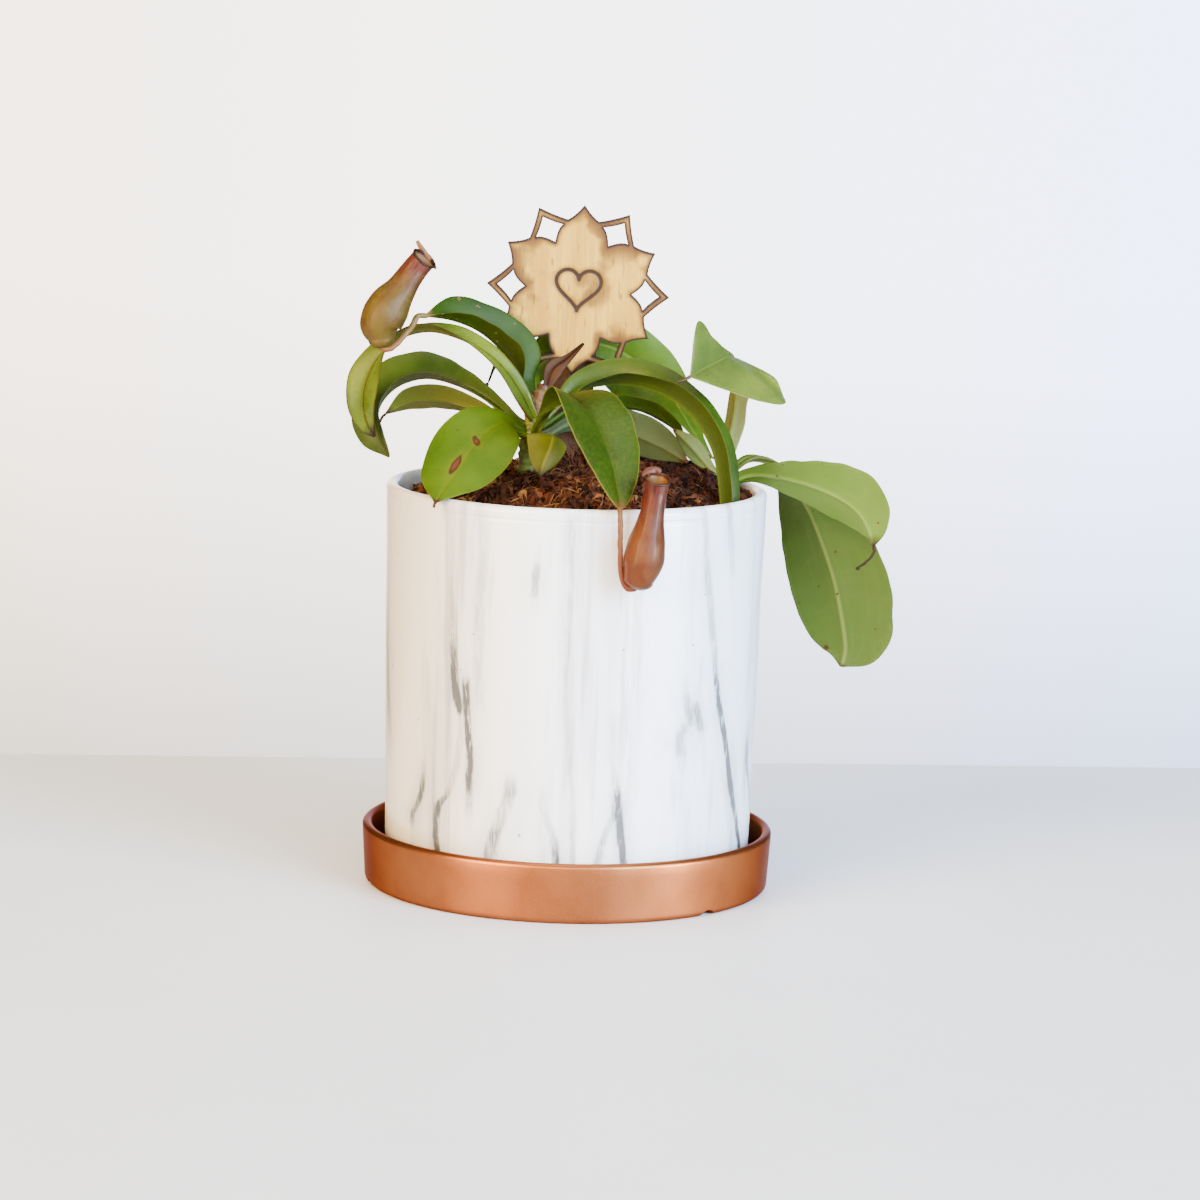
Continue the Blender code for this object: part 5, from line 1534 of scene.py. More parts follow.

# Each leaf's colours are matched to how it looks where it grows, so besides its own colour they hold painted
# light and shade: leaves that get less light, such as those facing up, are given lighter colours.
LOOKS = {
    "leaf_upper_left": LeafFinish(*shades((72, 110, 2), (46, 82, 2), (70, 77, 4), (93, 103, 6),
        (86, 96, 5))),
    "leaf_long_left": LeafFinish(*shades((154, 180, 47), (108, 138, 37), (132, 113, 53), (119, 80, 42),
        (106, 60, 32), (66, 40, 28)), margin_width=0.8, tip_length=7.0, roughness=0.22),
    "leaf_middle_left": LeafFinish(*shades((112, 137, 34), (77, 102, 26), (118, 116, 50), (108, 70, 32),
        (130, 120, 46), (110, 74, 44)), tip_length=2.0, roughness=0.28),
    "leaf_low_left": LeafFinish(*shades((168, 196, 56), (127, 153, 43), (189, 188, 71), (207, 210, 85),
        (168, 158, 60), (98, 64, 42))),
    "leaf_front_left": LeafFinish(*shades((114, 149, 4), (79, 121, 2), (106, 129, 8), (132, 147, 8),
        (157, 161, 16), (96, 56, 34), (142, 76, 44)), tip_length=2.5),
    "leaf_front": LeafFinish(*shades((64, 100, 9), (35, 69, 6), (79, 98, 23), (101, 122, 26),
        (176, 168, 40), (140, 88, 40)), tip_length=5.0, margin_width=0.55, roughness=0.36, shine=0.15),
    "leaf_small_front": LeafFinish(*shades((170, 176, 42), (114, 120, 31), (166, 171, 44), (204, 205, 58),
        (137, 117, 35), (60, 40, 28), (40, 30, 24))),
    "leaf_big_arch": LeafFinish(*shades((98, 132, 30), (67, 97, 24), (91, 107, 39), (140, 168, 52),
        (122, 133, 46), (96, 66, 40)), rib_width=1.1, tip_length=2.5, roughness=0.32, shine=0.15),
    # Lighter colours to make up for the plaque's shadow: painted light.
    "leaf_behind_plaque": LeafFinish(*shades((143, 188, 40), (98, 138, 30), (165, 176, 54), (206, 224, 66),
        (192, 197, 63))),
    "leaf_back_left": LeafFinish(*shades((150, 184, 43), (101, 131, 33), (144, 153, 49), (164, 166, 55),
        (107, 85, 33), (50, 32, 24)), tip_length=8.0),
    # Lighter colours to make up for the shade behind the arching leaf: painted light.
    "leaf_dark_back": LeafFinish(*shades((93, 138, 36), (66, 105, 29), (115, 144, 44), (136, 168, 52),
        (121, 148, 46))),
    "leaf_pale_under": LeafFinish(*shades((95, 113, 58), (74, 93, 45), (130, 144, 88), (150, 158, 99),
        (56, 50, 26), (132, 70, 50)), tip_length=4.0),
    "leaf_right_top": LeafFinish(*shades((168, 190, 65), (124, 151, 53), (178, 180, 96), (188, 203, 86),
        (209, 204, 104), (104, 72, 44)), tip_length=1.5, shine=0.18),
    "leaf_right_side": LeafFinish(*shades((119, 175, 41), (87, 135, 34), (150, 186, 73), (193, 232, 98),
        (144, 155, 57), (70, 48, 34)), rib_width=1.2),
    "leaf_right_hanging": LeafFinish(*shades((106, 138, 36), (77, 110, 30), (120, 142, 54), (185, 193, 88),
        (135, 142, 57), (112, 76, 46)), rib_width=1.1, tip_length=1.5),
    "leaf_pale_tip": LeafFinish(*shades((153, 165, 70), (123, 136, 56), (164, 171, 81), (184, 188, 94),
        (153, 146, 65), (120, 80, 48)), tip_length=1.0),
    "leaf_dried": LeafFinish(*shades((112, 68, 44), (70, 40, 28), (124, 82, 54), (80, 46, 30), (60, 34, 24),
        (56, 32, 22)), roughness=0.55),
}

SPOTS = {
    "leaf_upper_left": (Spot(0.75, 0.88, 0.7),),
    "leaf_front_left": (Spot(0.745, 0.06, 1.45, (0.60, 0.13)), Spot(0.44, 0.08, 1.35, (0.475, -0.08))),
    "leaf_right_side": (Spot(0.90, 0.47, 0.5), Spot(0.32, 0.1, 0.4)),
    "leaf_right_hanging": (Spot(0.60, 0.15, 0.55), Spot(0.74, 0.0, 0.4), Spot(0.93, -0.8, 1.0),
                           Spot(0.7, -0.4, 0.4), Spot(0.88, 0.6, 0.4)),
}

STUBS = {
    "leaf_front_left": (((0, 0, 0), (-0.3, -0.4, -0.8), (-0.2, -0.6, -1.7)), 0.6),
    "leaf_right_top": (((0, 0, 0), (-1.8, -1.2, -0.9), (-4.2, -1.8, -1.6)), 0.55),
    "leaf_low_left": (((0, 0, 0), (-1.2, -0.2, -1.2), (-2.0, -0.3, -3.0)), 0.6),
    "leaf_right_side": (((0, 0, 0), (0.4, 0, -1.8), (-1.6, -0.2, -4.6), (-4.4, -0.4, -6.8),
                         (-5.6, -0.4, -7.4), (-4.2, -0.3, -7.6)), 0.5),
    "leaf_back_left": (((0, 0, 0), (-1.0, 0.2, -1.6), (-1.6, 0.3, -3.0)), 0.7),
}


@dataclass
class Plant:
    """The stems and the leaves on them."""

    tissue: bpy.types.NodeTree

    def leaf_material(self, name: str, look: LeafFinish) -> bpy.types.Material:
        """One leaf's finish: the shared tissue in its own colours, slightly translucent and waxy."""
        g = Finish(name, Subsurface_Weight=0.10, Subsurface_Scale=0.0012, Subsurface_Radius=(0.6, 1.0, 0.2),
                   Specular_IOR_Level=look.shine, Specular_Tint=(1.0, 1.0, 0.7))
        tissue = g.effect(self.tissue, **effect_inputs(look, "shine"))
        return g.done(Base_Color=tissue["Color"], Roughness=tissue["Roughness"],
                      Normal=g.bump(tissue["Height"], 0.28, 0.2))

    @staticmethod
    def leaf_surface(blade: Blade) -> Surface:
        """A leaf's blade with the dried stub of its tendril."""
        surface = blade.surface(SPOTS.get(blade.name, ()))
        if blade.name not in STUBS:
            return surface
        offsets, radius = STUBS[blade.name]
        axis = np.array(blade.spine[-1], float) + np.array(offsets, float)
        stub = tube(axis, (radius, radius * 0.8, radius * 0.6), 22, 10, 0.15, 7)
        stub.marks |= {"tip_mm": np.full(len(stub.points), -6.0), "lesion": np.full(len(stub.points), -2.0)}
        return joined([surface, stub])

    def build(self) -> None:
        """Adds both stems and every leaf."""
        for stem in STEMS:
            bark = STEM_FINISHES[stem.name].material(stem.name + "_skin")
            add_piece(stem.name + "_shoot", stem.surface(), bark, (stem.name,))
        for blade in BLADES:
            finish = self.leaf_material(blade.name + "_tissue", LOOKS[blade.name])
            add_piece(blade.name + "_blade", self.leaf_surface(blade), finish, (blade.name,))


# Pitchers and tendrils


@dataclass(frozen=True)
class Pitcher:
    """A pitcher: its axis from the rounded bottom up to the mouth, and the radius at each point.

    lid holds the points of the shrivelled lid as offsets from the back of the mouth.
    """

    name: str
    axis: tuple
    radius: tuple
    lid: tuple
    lid_width: tuple
    finish: PitcherFinish
    mouth_tilt: float = 20.0
    wall: float = 0.55
    floor: float = 0.16
    lip: float = 0.32
    wing: float = 0.16
    sides: int = 72

    def radii(self, places: np.ndarray) -> np.ndarray:
        """The outer radius at places from 0 to 1 along the axis."""
        return curve_through(self.radius, places)[:, 0]

    def stations(self) -> np.ndarray:
        """Rows of place, radius, shift along, inside and lip, going round the wall from bottom to floor."""
        start, end = self.radii(np.array([0.0, 1.0]))
        foot = np.radians(np.linspace(84, 6, 7))
        outside = np.linspace(0, 0.985, 64)
        roll = np.radians(np.linspace(-70, 215, 17))
        within = np.linspace(0.97, self.floor, 40)
        bore = np.maximum(self.radii(within) - self.wall, 0.5)
        cap = np.radians(np.linspace(15, 80, 5))
        parts = (
            (0.0, start * np.cos(foot), -0.68 * start * np.sin(foot), 0.0, 0.0),
            (outside, self.radii(outside), 0.0, 0.0, 0.0),
            (1.0, end - 0.1 + self.lip * np.cos(roll), self.lip * (0.4 + np.sin(roll)), 0.0, 1.0),
            (within, bore, 0.0, 1.0, 0.0),
            (self.floor, bore[-1] * np.cos(cap), -1.5 * np.sin(cap), 1.0, 0.0),
        )
        return np.vstack([np.stack(np.broadcast_arrays(*part), -1) for part in parts])

    def cup(self) -> Surface:
        """The cup: each station's ring, with two wings down the front and a ribbed lip."""
        place, size, shift, inside, lip = self.stations().T
        middle = curve_through(self.axis, place)[:, None]
        fine = np.linspace(0, 1, 300)
        ways = unit(np.gradient(curve_through(self.axis, fine), axis=0))
        along = unit(np.stack([np.interp(place, fine, ways[:, k]) for k in range(3)], -1))
        turn = full_turn(self.sides)
        ring = circles(turn, *sides_of(along, (0.0, 1.0, 0.0)))
        along = along[:, None]
        outer = (1 - inside) * (1 - lip) * (shift == 0)
        front = np.pi / 2
        wings = sum(np.exp(-(((turn - front - off) / 0.10) ** 2)) for off in (-0.42, 0.42))
        window = smooth(0.08, 0.3, place) * (1 - smooth(0.72, 0.92, place)) * outer
        wing = window[:, None] * wings[None]
        ribs = lip[:, None] * 0.07 * np.cos(self.sides / 2 * turn)[None]
        wave = outer[:, None] * soft_noise(middle + ring * 5.0, 7.0, 61) * 0.10
        pleat = outer[:, None] * 0.04 * np.cos(14 * turn)[None] * smooth(0.5, 0.9, place)[:, None]
        radial = size[:, None] + self.wing * wing + ribs + wave + pleat
        points = middle + along * shift[:, None, None] + ring * radial[..., None]
        near = np.clip((place - 0.8) / 0.2, 0, 1)[:, None, None]
        back = (ring[..., 1] * size[:, None])[..., None]
        points = points + along * back * near * math.tan(math.radians(self.mouth_tilt))
        marks = {
            "along": place[:, None], "turn": turn[None] / (2 * np.pi), "inside": inside[:, None],
            "lip": lip[:, None], "wing": wing, "lid": np.zeros((1, 1)),
        }
        return skin(points, marks)

    def lid_strip(self) -> Surface:
        """The shrivelled lid: a narrow curled strip from the back of the mouth."""
        middle = curve_through(self.axis, np.linspace(0, 1, 200))
        along = unit(np.gradient(middle, axis=0))[-1]
        end = self.radii(np.ones(1))[0]
        out = unit(-sides_of(along, (0.0, 1.0, 0.0))[1])
        lift = out[1] * end * math.tan(math.radians(self.mouth_tilt))
        root = middle[-1] + out * (end - 0.3) + along * lift - np.array([0, 0, 0.6])
        places = np.linspace(0, 1, 34)
        path = root + curve_through(self.lid, places)
        way = unit(np.gradient(path, axis=0))
        side = sides_of(way, (0.2, 1.0, 0.1))[0]
        face = np.cross(side, way)
        half = curve_through(self.lid_width, places)[:, 0]
        half = half * (1 + 0.06 * np.sin(places * 11)) * np.sqrt(np.clip((1 - places) / 0.12, 0.05, 1))
        share = np.sin(np.linspace(-np.pi / 2, np.pi / 2, 15))[None]
        half = half[:, None]
        curl = half * (0.55 * share**2 + 0.05 * np.sin(5 * share + places[:, None] * 9))
        grid = path[:, None] + side[:, None] * (half * share)[..., None] + face[:, None] * curl[..., None]
        thick = 0.28 * np.sqrt(np.clip(1 - share**4, 0, 1)) * np.ones_like(curl)
        marks = {"lid": np.ones((1, 1)), "along": np.ones((1, 1)), "turn": share * 0.2}
        return sheet_skin(grid, thick, thick, marks)

    def material(self, tissue: bpy.types.NodeTree) -> bpy.types.Material:
        """The pitcher's finish: the shared tissue in its own colours, satin and slightly translucent."""
        g = Finish(self.name + "_tissue", Roughness=self.finish.roughness, Subsurface_Weight=0.12,
                   Subsurface_Scale=0.0012, Subsurface_Radius=(1.0, 0.4, 0.15), Specular_IOR_Level=0.19,
                   Specular_Tint=(1.0, 0.9, 0.75))
        look = g.effect(tissue, **effect_inputs(self.finish, "roughness"))
        return g.done(Base_Color=look["Color"], Normal=g.bump(look["Height"], 0.2, 0.15))

    def build(self, tissue: bpy.types.NodeTree) -> None:
        """Adds the pitcher."""
        surface = joined([self.cup(), self.lid_strip()])
        add_piece(self.name + "_cup", surface, self.material(tissue), (self.name,), 70)


PITCHERS = (
    Pitcher("pitcher_left",
            ((-65.3, -19.4, 182.9), (-65.8, -19, 187.8), (-63.2, -18.2, 193.6), (-59, -17.2, 200),
             (-55.6, -16.6, 205), (-52, -16, 209.6)),
            (4.2, 6.8, 7.1, 5.0, 4.3, 4.3),
            ((-3.4, 0.2, 5.2), (-1.1, 0.1, 1.5), (0.9, -0.3, -0.9), (3.2, -1.2, -3.8)), (0.5, 1.0, 1.1, 0.6),
            PitcherFinish(*shades((140, 112, 32), (108, 60, 22), (138, 62, 42), (108, 28, 26),
                          (206, 140, 80), (44, 28, 22), (192, 128, 78)), neck_from=0.52, roughness=0.46)),
    Pitcher("pitcher_front",
            ((20.5, -70.6, 114.0), (21.8, -70.6, 118.8), (22.7, -70, 124.8), (23.9, -69.5, 132.8),
             (25, -69.3, 140.7), (25.7, -69.3, 146)),
            (5.1, 6.4, 6.2, 4.3, 3.7, 4.05),
            ((0, 0, 0), (-1.2, -0.7, 1.0), (-3.2, -1.6, 0.9), (-5.0, -2.4, -0.3)), (1.8, 1.8, 1.5, 1.0),
            PitcherFinish(*shades((154, 84, 36), (120, 36, 22), (124, 40, 32), (84, 14, 16), (170, 108, 46),
                          (84, 44, 28), (134, 68, 42)), roughness=0.40)),
)


@dataclass(frozen=True)
class Tendril:
    """A tendril from a leaf's tip to the base of its pitcher: a tube that thickens into both."""

    name: str
    axis: tuple
    radius: tuple
    near: Colour
    far: Colour

    def build(self) -> None:
        """Adds the tendril."""
        g = Finish(self.name + "_skin", Roughness=0.45, Subsurface_Weight=0.1, Subsurface_Scale=0.001,
                   Specular_IOR_Level=0.14)
        share = g.plus(g.mark("along"), g.swing(g.noise(300.0), 0.5))
        colour = g.mix(g.span(share, 0.1, 0.8), self.near, self.far)
        colour = g.mix(g.span(g.noise(900.0, 2.0), 0.55, 0.7, 0.0, 0.4), colour, self.near)
        finish = g.done(Base_Color=colour, Normal=g.bump(g.noise(700.0, 2.0), 0.4, 0.2))
        surface = tube(self.axis, self.radius, 90, 20, 0.06, 71)
        add_piece(self.name + "_thread", surface, finish, (self.name,))


TENDRILS = (
    Tendril("tendril_left",
            ((-50.6, -10.6, 190.4), (-52.2, -11.8, 190.6), (-54, -13, 190.2), (-55.7, -14.8, 187),
             (-58.9, -17, 183.2), (-61.6, -18.7, 180.6), (-63.9, -19.4, 180.1), (-65.3, -19.5, 181.6)),
            (0.7, 0.95, 1.0, 1.0, 1.0, 1.05, 1.25, 1.9), seen(186, 150, 70), seen(196, 124, 56)),
    Tendril("tendril_front",
            ((13.9, -68.4, 136.2), (14.1, -69.4, 134.2), (14.3, -70.6, 129.3), (14.6, -71, 120),
             (15.3, -71, 113.8), (16.9, -71, 111.2), (18.6, -70.9, 111), (20, -70.6, 112.2)),
            (0.8, 0.85, 0.85, 0.85, 0.9, 1.0, 1.25, 1.8), seen(176, 110, 48), seen(172, 84, 50)),
)


# Plaque


def loop_distance(points: np.ndarray, loops: list[np.ndarray]) -> np.ndarray:
    """The distance from each point to the nearest side of any loop.

    Args:
        points: points in the plane.
        loops: closed loops of corners.

    Returns:
        One distance for each point.
    """
    starts = np.vstack(loops)
    ends = np.vstack([np.roll(loop, -1, axis=0) for loop in loops])
    best = np.full(len(points), np.inf)
    for start, end in zip(starts, ends):
        side = end - start
        share = np.clip((points - start) @ side / max(side @ side, 1e-12), 0, 1)
        best = np.minimum(best, np.linalg.norm(points - start - share[:, None] * side, axis=1))
    return best


def inside_loop(points: np.ndarray, loop: np.ndarray) -> np.ndarray:
    """Whether each point is inside a loop, by how many sides a level ray crosses."""
    x, y = points[:, 0], points[:, 1]
    crossed = np.zeros(len(points), bool)
    for (ax, ay), (bx, by) in zip(loop, np.roll(loop, -1, axis=0)):
        spans = (ay > y) != (by > y)
        rise = by - ay if by != ay else 1e-12
        crossed ^= spans & (x < (bx - ax) * (y - ay) / rise + ax)
    return crossed


def within_loops(points: np.ndarray, loops: list[np.ndarray]) -> np.ndarray:
    """Whether each point is inside the first loop and outside all the others."""
    keep = inside_loop(points, loops[0])
    for window in loops[1:]:
        keep &= ~inside_loop(points, window)
    return keep


def dense(loop: np.ndarray, pitch: float) -> np.ndarray:
    """A loop with points added along its sides about every pitch."""
    made = []
    for start, end in zip(loop, np.roll(loop, -1, axis=0)):
        count = max(1, int(round(np.linalg.norm(end - start) / pitch)))
        share = np.linspace(0, 1, count, endpoint=False)[:, None]
        made.append(start * (1 - share) + end * share)
    return np.vstack(made)


@dataclass
class CutPlate:
    """A flat plate cut out along loops: its own plane is X and Z, and it is as thick as thick in Y."""

    loops: list[np.ndarray]
    thick: float
    pitch: float = 0.7

    def surface(self) -> Surface:
        """Both faces triangulated through a fine grid of points, joined by the cut sides.

        Returns:
            The plate with its front at y = 0 and the mark "edge_mm", the distance from the nearest cut.
        """
        loops = [dense(loop, self.pitch) for loop in self.loops]
        (left, low), (right, high) = loops[0].min(0), loops[0].max(0)
        across, up = np.arange(left, right, self.pitch), np.arange(low, high, self.pitch)
        grid = np.stack(np.meshgrid(across, up), -1).reshape(-1, 2)
        grid = grid[within_loops(grid, loops) & (loop_distance(grid, loops) > self.pitch * 0.45)]
        sides = []
        start = 0
        for loop in loops:
            index = np.arange(start, start + len(loop))
            sides.append(np.stack([index, np.roll(index, -1)], -1))
            start += len(loop)
        corners = [Vector(point) for point in np.vstack([*loops, grid]).tolist()]
        made = delaunay_2d_cdt(corners, np.vstack(sides).tolist(), [], 0, 1e-6, False)
        flat = np.array([tuple(point) for point in made[0]])
        tris = np.array([face for face in made[2] if len(face) == 3])
        tris = tris[within_loops(flat[tris].mean(1), loops)]
        corner = flat[tris]
        area = np.cross(corner[:, 1] - corner[:, 0], corner[:, 2] - corner[:, 0])
        tris = np.where((area < 0)[:, None], tris[:, ::-1], tris)
        return self.solid(flat, tris, loop_distance(flat, loops))

    def solid(self, flat: np.ndarray, tris: np.ndarray, edge: np.ndarray) -> Surface:
        """The plate between its two faces.

        Args:
            flat: the points of one face.
            tris: its triangles, turned anticlockwise.
            edge: the distance of each point from the nearest cut.

        Returns:
            The closed plate.
        """
        count = len(flat)
        pairs = np.concatenate([tris[:, [0, 1]], tris[:, [1, 2]], tris[:, [2, 0]]])
        known = {tuple(pair) for pair in pairs.tolist()}
        rim = np.array([pair for pair in pairs.tolist() if (pair[1], pair[0]) not in known])
        front = np.stack([flat[:, 0], np.zeros(count), flat[:, 1]], -1)
        back = front + [0, self.thick, 0]
        quads = np.stack([rim[:, 0], rim[:, 1], rim[:, 1] + count, rim[:, 0] + count], -1)
        faces = np.vstack([tris, tris[:, ::-1] + count])
        marks = {"edge_mm": np.tile(edge, 2), "back": np.repeat([0.0, 1.0], count)}
        return Surface(np.vstack([front, back]), quads, faces, marks).outward()


@dataclass
class Plaque:
    """The cut-wood flower with six solid and six open petals, and the flat stake behind it."""

    grain: bpy.types.NodeTree
    centre: tuple[float, float] = (-1.4, 198.2)
    front: float = 12.2
    thick: float = 3.0
    lean: float = 3.0
    petal_tip: float = 28.5
    open_tip: float = 30.5
    join_r: float = 23.8
    join_angle: float = 12.7
    valley_r: float = 17.8
    window_out: float = 27.2
    window_side_r: float = 22.6
    window_side_angle: float = 13.0
    heart_size: float = 7.5
    stake_width: float = 15.6
    stake_top: float = 200.0
    stake_foot: float = 104.0

    @staticmethod
    def polar(radius: float, angle: float) -> np.ndarray:
        """A point by its distance from the centre and its angle in degrees."""
        return radius * np.array([math.cos(math.radians(angle)), math.sin(math.radians(angle))])

    @staticmethod
    def bowed(start: np.ndarray, end: np.ndarray, bow: float, count: int) -> np.ndarray:
        """Points from start towards end on a line bowed out from the centre, without the end."""
        share = np.linspace(0, 1, count, endpoint=False)[:, None]
        out = unit(start + end)
        return start * (1 - share) + end * share + out * bow * 4 * share * (1 - share)

    def loops(self) -> list[np.ndarray]:
        """The outline and the six windows."""
        outline = []
        windows = []
        for middle in range(90, 450, 60):
            tip, opened = self.polar(self.petal_tip, middle), self.polar(self.open_tip, middle + 30)
            near = self.polar(self.join_r, middle + self.join_angle)
            far = self.polar(self.join_r, middle + 60 - self.join_angle)
            following = self.polar(self.petal_tip, middle + 60)
            outline += [self.bowed(tip, near, -0.5, 8), self.bowed(near, opened, -0.3, 6)]
            outline += [self.bowed(opened, far, -0.3, 6), self.bowed(far, following, -0.5, 8)]
            out = self.polar(self.window_out, middle + 30)
            valley = self.polar(self.valley_r, middle + 30)
            low = self.polar(self.window_side_r, middle + 30 - self.window_side_angle)
            high = self.polar(self.window_side_r, middle + 30 + self.window_side_angle)
            sides = [self.bowed(out, high, -0.3, 6), self.bowed(high, valley, 0.9, 10)]
            sides += [self.bowed(valley, low, 0.9, 10), self.bowed(low, out, -0.3, 6)]
            windows.append(np.vstack(sides))
        return [np.vstack(outline), *windows]

    def heart(self) -> np.ndarray:
        """A heart's outline: x = 16 sin^3 t, y = 13 cos t - 5 cos 2t - 2 cos 3t - cos 4t, scaled."""
        t = full_turn(90)
        x = 16 * np.sin(t) ** 3
        y = 13 * np.cos(t) - 5 * np.cos(2 * t) - 2 * np.cos(3 * t) - np.cos(4 * t)
        return np.stack([x, y + 2.5], -1) * self.heart_size / 16

    def leaned(self, surface: Surface, front: float) -> Surface:
        """A plate turned by the lean round the plaque's centre and set at a depth."""
        angle = math.radians(self.lean)
        x, y, z = surface.points.T
        surface.points = np.stack([
            self.centre[0] + x * math.cos(angle) + z * math.sin(angle),
            y + front,
            self.centre[1] - x * math.sin(angle) + z * math.cos(angle),
        ], -1)
        return surface

    def plate(self) -> Surface:
        """The flower plate with the engraved heart: 0.3 mm deep within 0.8 mm of the heart's line."""
        surface = CutPlate(self.loops(), self.thick, 0.55).surface()
        flat = surface.points[:, [0, 2]]
        heart = self.heart()
        line_off = loop_distance(flat, [heart])
        groove = (1 - smooth(0.55, 0.85, line_off)) * (1 - surface.marks["back"])
        surface.points[:, 1] += 0.3 * groove
        surface.marks["motif_mm"] = np.where(surface.marks["back"] > 0, 20.0, line_off)
        return self.leaned(surface, self.front)

    def stake(self) -> Surface:
        """The stake: straight sides, a square top and a blunt pointed foot."""
        half = self.stake_width / 2
        foot, top = self.stake_foot - self.centre[1], self.stake_top - self.centre[1]
        corners = ((-half, top), (-half, foot + 10), (-2.0, foot), (2.0, foot), (half, foot + 10),
                   (half, top))
        surface = CutPlate([np.array(corners, float)], self.thick, 1.1).surface()
        surface.marks["motif_mm"] = np.full(len(surface.points), 20.0)
        return self.leaned(surface, self.front + self.thick + 0.3)

    def material(self, name: str, light: Colour, dark: Colour) -> bpy.types.Material:
        """Birch with charred cut edges and the scorched motif."""
        g = Finish(name, Specular_IOR_Level=0.15)
        look = g.effect(self.grain, light=light, dark=dark, edge=g.mark("edge_mm"), motif=g.mark("motif_mm"))
        return g.done(Base_Color=look["Color"], Roughness=look["Roughness"],
                      Normal=g.bump(look["Height"], 0.25, 0.15))

    def build(self) -> None:
        """Adds the plaque and the stake, whose birch is darkened with painted shade."""
        face = self.material("plaque_birch", (0.52, 0.305, 0.040), (0.36, 0.190, 0.022))
        add_piece("plaque_flower", self.plate(), face, ("plaque",), 40)
        # The stake is the plaque's birch in far darker colours: painted shade behind the plaque.
        stake_in_painted_shade = self.material("stake_birch", (0.095, 0.042, 0.016), (0.050, 0.021, 0.008))
        add_piece("stake_blade", self.stake(), stake_in_painted_shade, ("plaque_stake",), 40)


# Stage, lights and camera


@dataclass
class Stage:
    """The pale table with its far edge, and the pale wall far behind."""

    near_y: float = -1.6
    edge_left: tuple[float, float] = (-0.212, 0.194)
    edge_right: tuple[float, float] = (0.2415, 0.2338)
    half: float = 2.4
    wall_y: float = 3.2
    wall_half: float = 1.0
    wall_low: float = -1.3
    wall_high: float = 1.1

    @staticmethod
    def plain(name: str, corners: list[tuple[float, float, float]], finish: bpy.types.Material) -> None:
        """Adds one flat piece of the stage."""
        mesh = new_mesh(name, corners, [tuple(range(len(corners)))])
        mesh.materials.append(finish)
        made = new_object(name, mesh)

    @staticmethod
    def table_paint() -> bpy.types.Material:
        """A pale painted finish with a hardly visible grain."""
        g = Finish("table_paint", Roughness=0.5, Specular_IOR_Level=0.3)
        colour = (0.68, 0.68, 0.665)
        darker = tuple(0.965 * each for each in colour)
        return g.done(Base_Color=g.mix(g.span(g.noise(9.0), 0.3, 0.7), colour, darker))

    @staticmethod
    def lit_wall() -> bpy.types.Material:
        """A wall that glows: warm on the left, cool on the right, and dimmer towards the table."""
        black = (0.0, 0.0, 0.0)
        g = Finish("wall_glow", Base_Color=black, Roughness=1.0, Specular_IOR_Level=0.0,
                   Emission_Strength=5.4)
        x, _, z = g.apart()
        stops = ((0.0, (0.95, 0.80, 0.66)), (0.5, (1.0, 0.98, 0.98)), (1.0, (0.82, 0.96, 1.42)))
        tint = g.ramp(g.plus(g.times(x, 0.75), 0.5), stops)
        return g.done(Emission_Color=g.mix(g.span(z, -0.85, 0.05, 0.26, 1.04), black, tint))

    def build(self) -> None:
        """Adds the table and the wall."""
        (start_x, start_y), (end_x, end_y) = self.edge_left, self.edge_right
        slope = (end_y - start_y) / (end_x - start_x)
        near = [(x, self.near_y, 0) for x in (-self.half, self.half)]
        far = [(x, start_y + slope * (x - start_x), 0) for x in (self.half, -self.half)]
        self.plain("table", near + far, self.table_paint())
        low = [(x, self.wall_y, self.wall_low) for x in (-self.wall_half, self.wall_half)]
        high = [(x, self.wall_y, self.wall_high) for x in (self.wall_half, -self.wall_half)]
        self.plain("wall", low + high, self.lit_wall())


@dataclass(frozen=True)
class SoftBox:
    """A square soft light aimed at the plant."""

    name: str
    place: tuple[float, float, float]
    size: float
    power: float
    colour: Colour
    glint: bool = False

    def build(self) -> None:
        """Adds the light, turned to the plant's middle."""
        lamp = bpy.data.lights.new(self.name, "AREA")
        lamp.shape = "SQUARE"
        lamp.size = self.size
        lamp.energy = self.power
        lamp.color = self.colour
        made = new_object(self.name, lamp)
        made.location = self.place
        made.visible_diffuse = not self.glint
        aim = Vector((0.0, 0.0, 0.12)) - Vector(self.place)
        made.rotation_euler = aim.to_track_quat("-Z", "Y").to_euler()


SOFT_BOXES = (
    SoftBox("window_left", (-1.32, -1.5, 0.85), 1.3, 168.0, (1.0, 0.71, 0.36)),
    SoftBox("window_right", (1.38, -1.5, 0.8), 1.3, 190.0, (0.60, 0.88, 1.30)),
    SoftBox("ceiling", (0.0, -0.2, 1.7), 1.2, 26.0, (1.0, 0.98, 0.96)),
    SoftBox("front_fill", (0.0, -2.3, 0.9), 1.0, 45.0, (1.0, 0.97, 0.97)),
    SoftBox("glint_left", (-0.8, -0.75, 0.05), 0.24, 9.0, (1.0, 0.86, 0.7), True),
    SoftBox("glint_right", (1.0, -0.55, 0.05), 0.3, 45.0, (1.0, 0.94, 0.9), True),
)


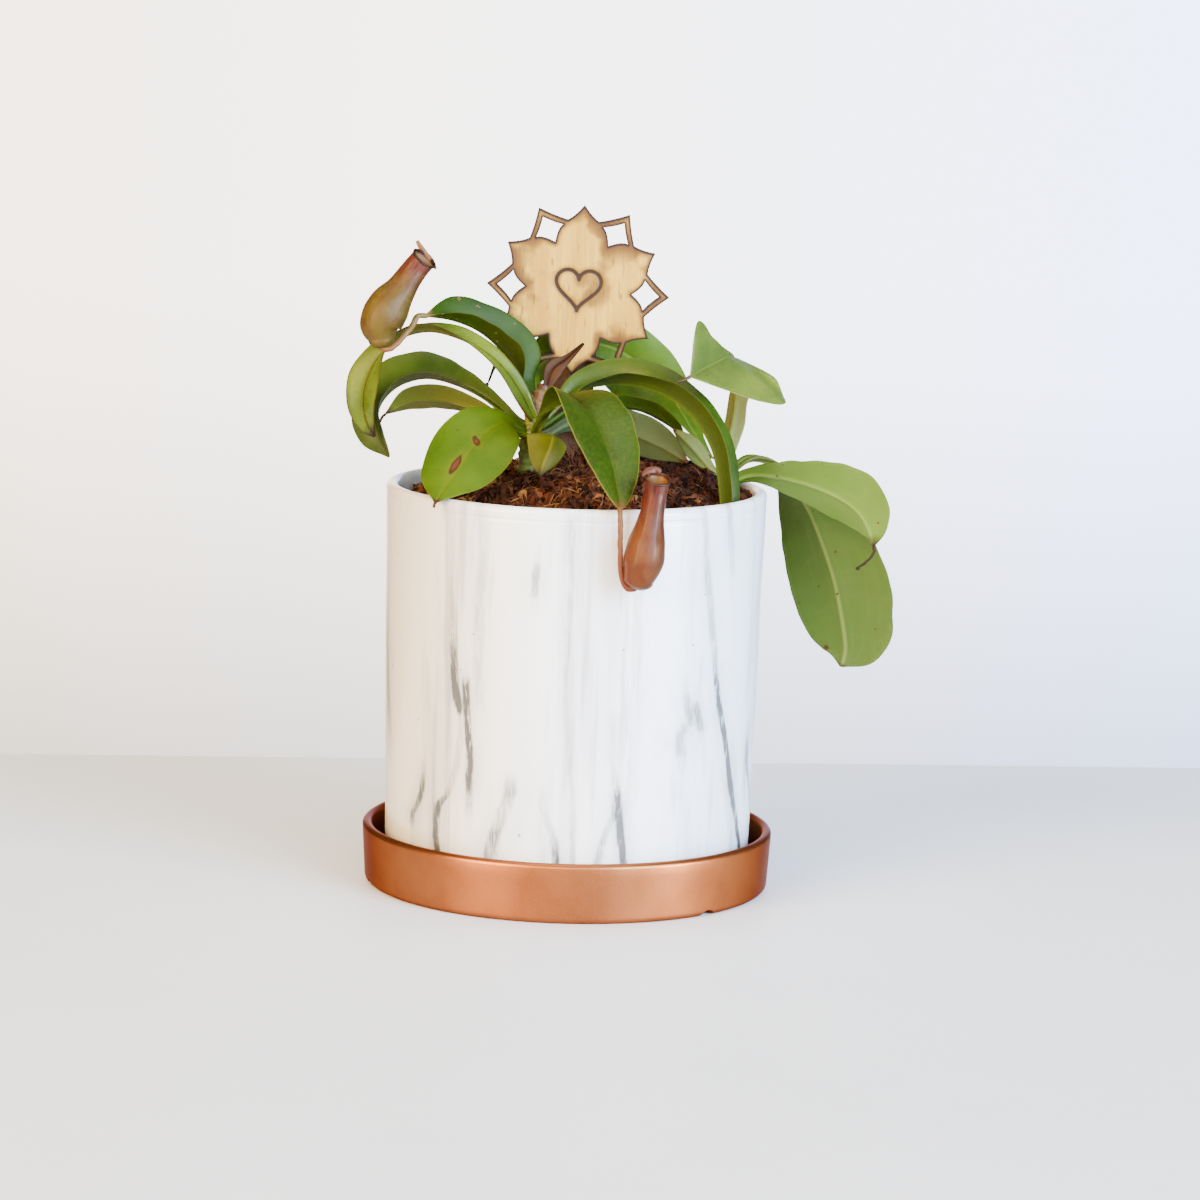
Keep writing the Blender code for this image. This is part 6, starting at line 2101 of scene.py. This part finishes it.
@dataclass(frozen=True)
class Viewpoint:
    """The camera's place and turn."""

    place: tuple[float, float, float] = (0.0, -1.5, 0.33)
    lens: float = 90.8
    sensor: float = 24.0
    pitch: float = 8.87
    yaw: float = 0.34
    roll: float = 1.70

    def build(self) -> None:
        """Adds the camera: down by the pitch, right by the yaw, then rolled round its own axis."""
        down, right, tip = (math.radians(each) for each in (self.pitch, self.yaw, self.roll))
        ahead = Vector((math.sin(right) * math.cos(down), math.cos(right) * math.cos(down), -math.sin(down)))
        level = Vector((math.cos(right), -math.sin(right), 0.0))
        above = level.cross(ahead)
        x_axis = level * math.cos(tip) + above * math.sin(tip)
        y_axis = above * math.cos(tip) - level * math.sin(tip)
        data = bpy.data.cameras.new("camera")
        data.sensor_width = self.sensor
        data.lens = self.lens
        data.clip_end = 20.0
        made = new_object("camera", data)
        turn = Matrix((x_axis, y_axis, -ahead)).transposed().to_4x4()
        made.matrix_world = Matrix.Translation(self.place) @ turn
        bpy.context.scene.camera = made


def soft_world(strength: float, backdrop: float) -> None:
    """A dim even surround that looks pale where it is seen directly.

    Args:
        strength: how strongly it lights the plant.
        backdrop: how bright it looks.
    """
    world = bpy.data.worlds.new("soft_surround")
    world.use_nodes = True
    g = Graph(world.node_tree)
    shade = world.node_tree.nodes["Background"]
    shade.inputs["Color"].default_value = (0.97, 0.98, 1.0, 1.0)
    direct = g.add("ShaderNodeLightPath").outputs["Is Camera Ray"]
    g.put(shade.inputs["Strength"], g.span(direct, 0.0, 1.0, strength, backdrop))
    bpy.context.scene.world = world


def main() -> None:
    """Builds the stage, the camera and every piece of the plant."""
    logging.basicConfig(level=logging.INFO, format="%(message)s")
    Viewpoint().build()
    soft_world(0.22, 4.6)
    Stage().build()
    for box in SOFT_BOXES:
        box.build()
    Saucer().build()
    Pot().build()
    Moss().build()
    Plant(leaf_tissue()).build()
    tissue = pitcher_tissue()
    for pitcher in PITCHERS:
        pitcher.build(tissue)
    for tendril in TENDRILS:
        tendril.build()
    Plaque(wood_grain()).build()


if __name__ == "__main__":
    main()
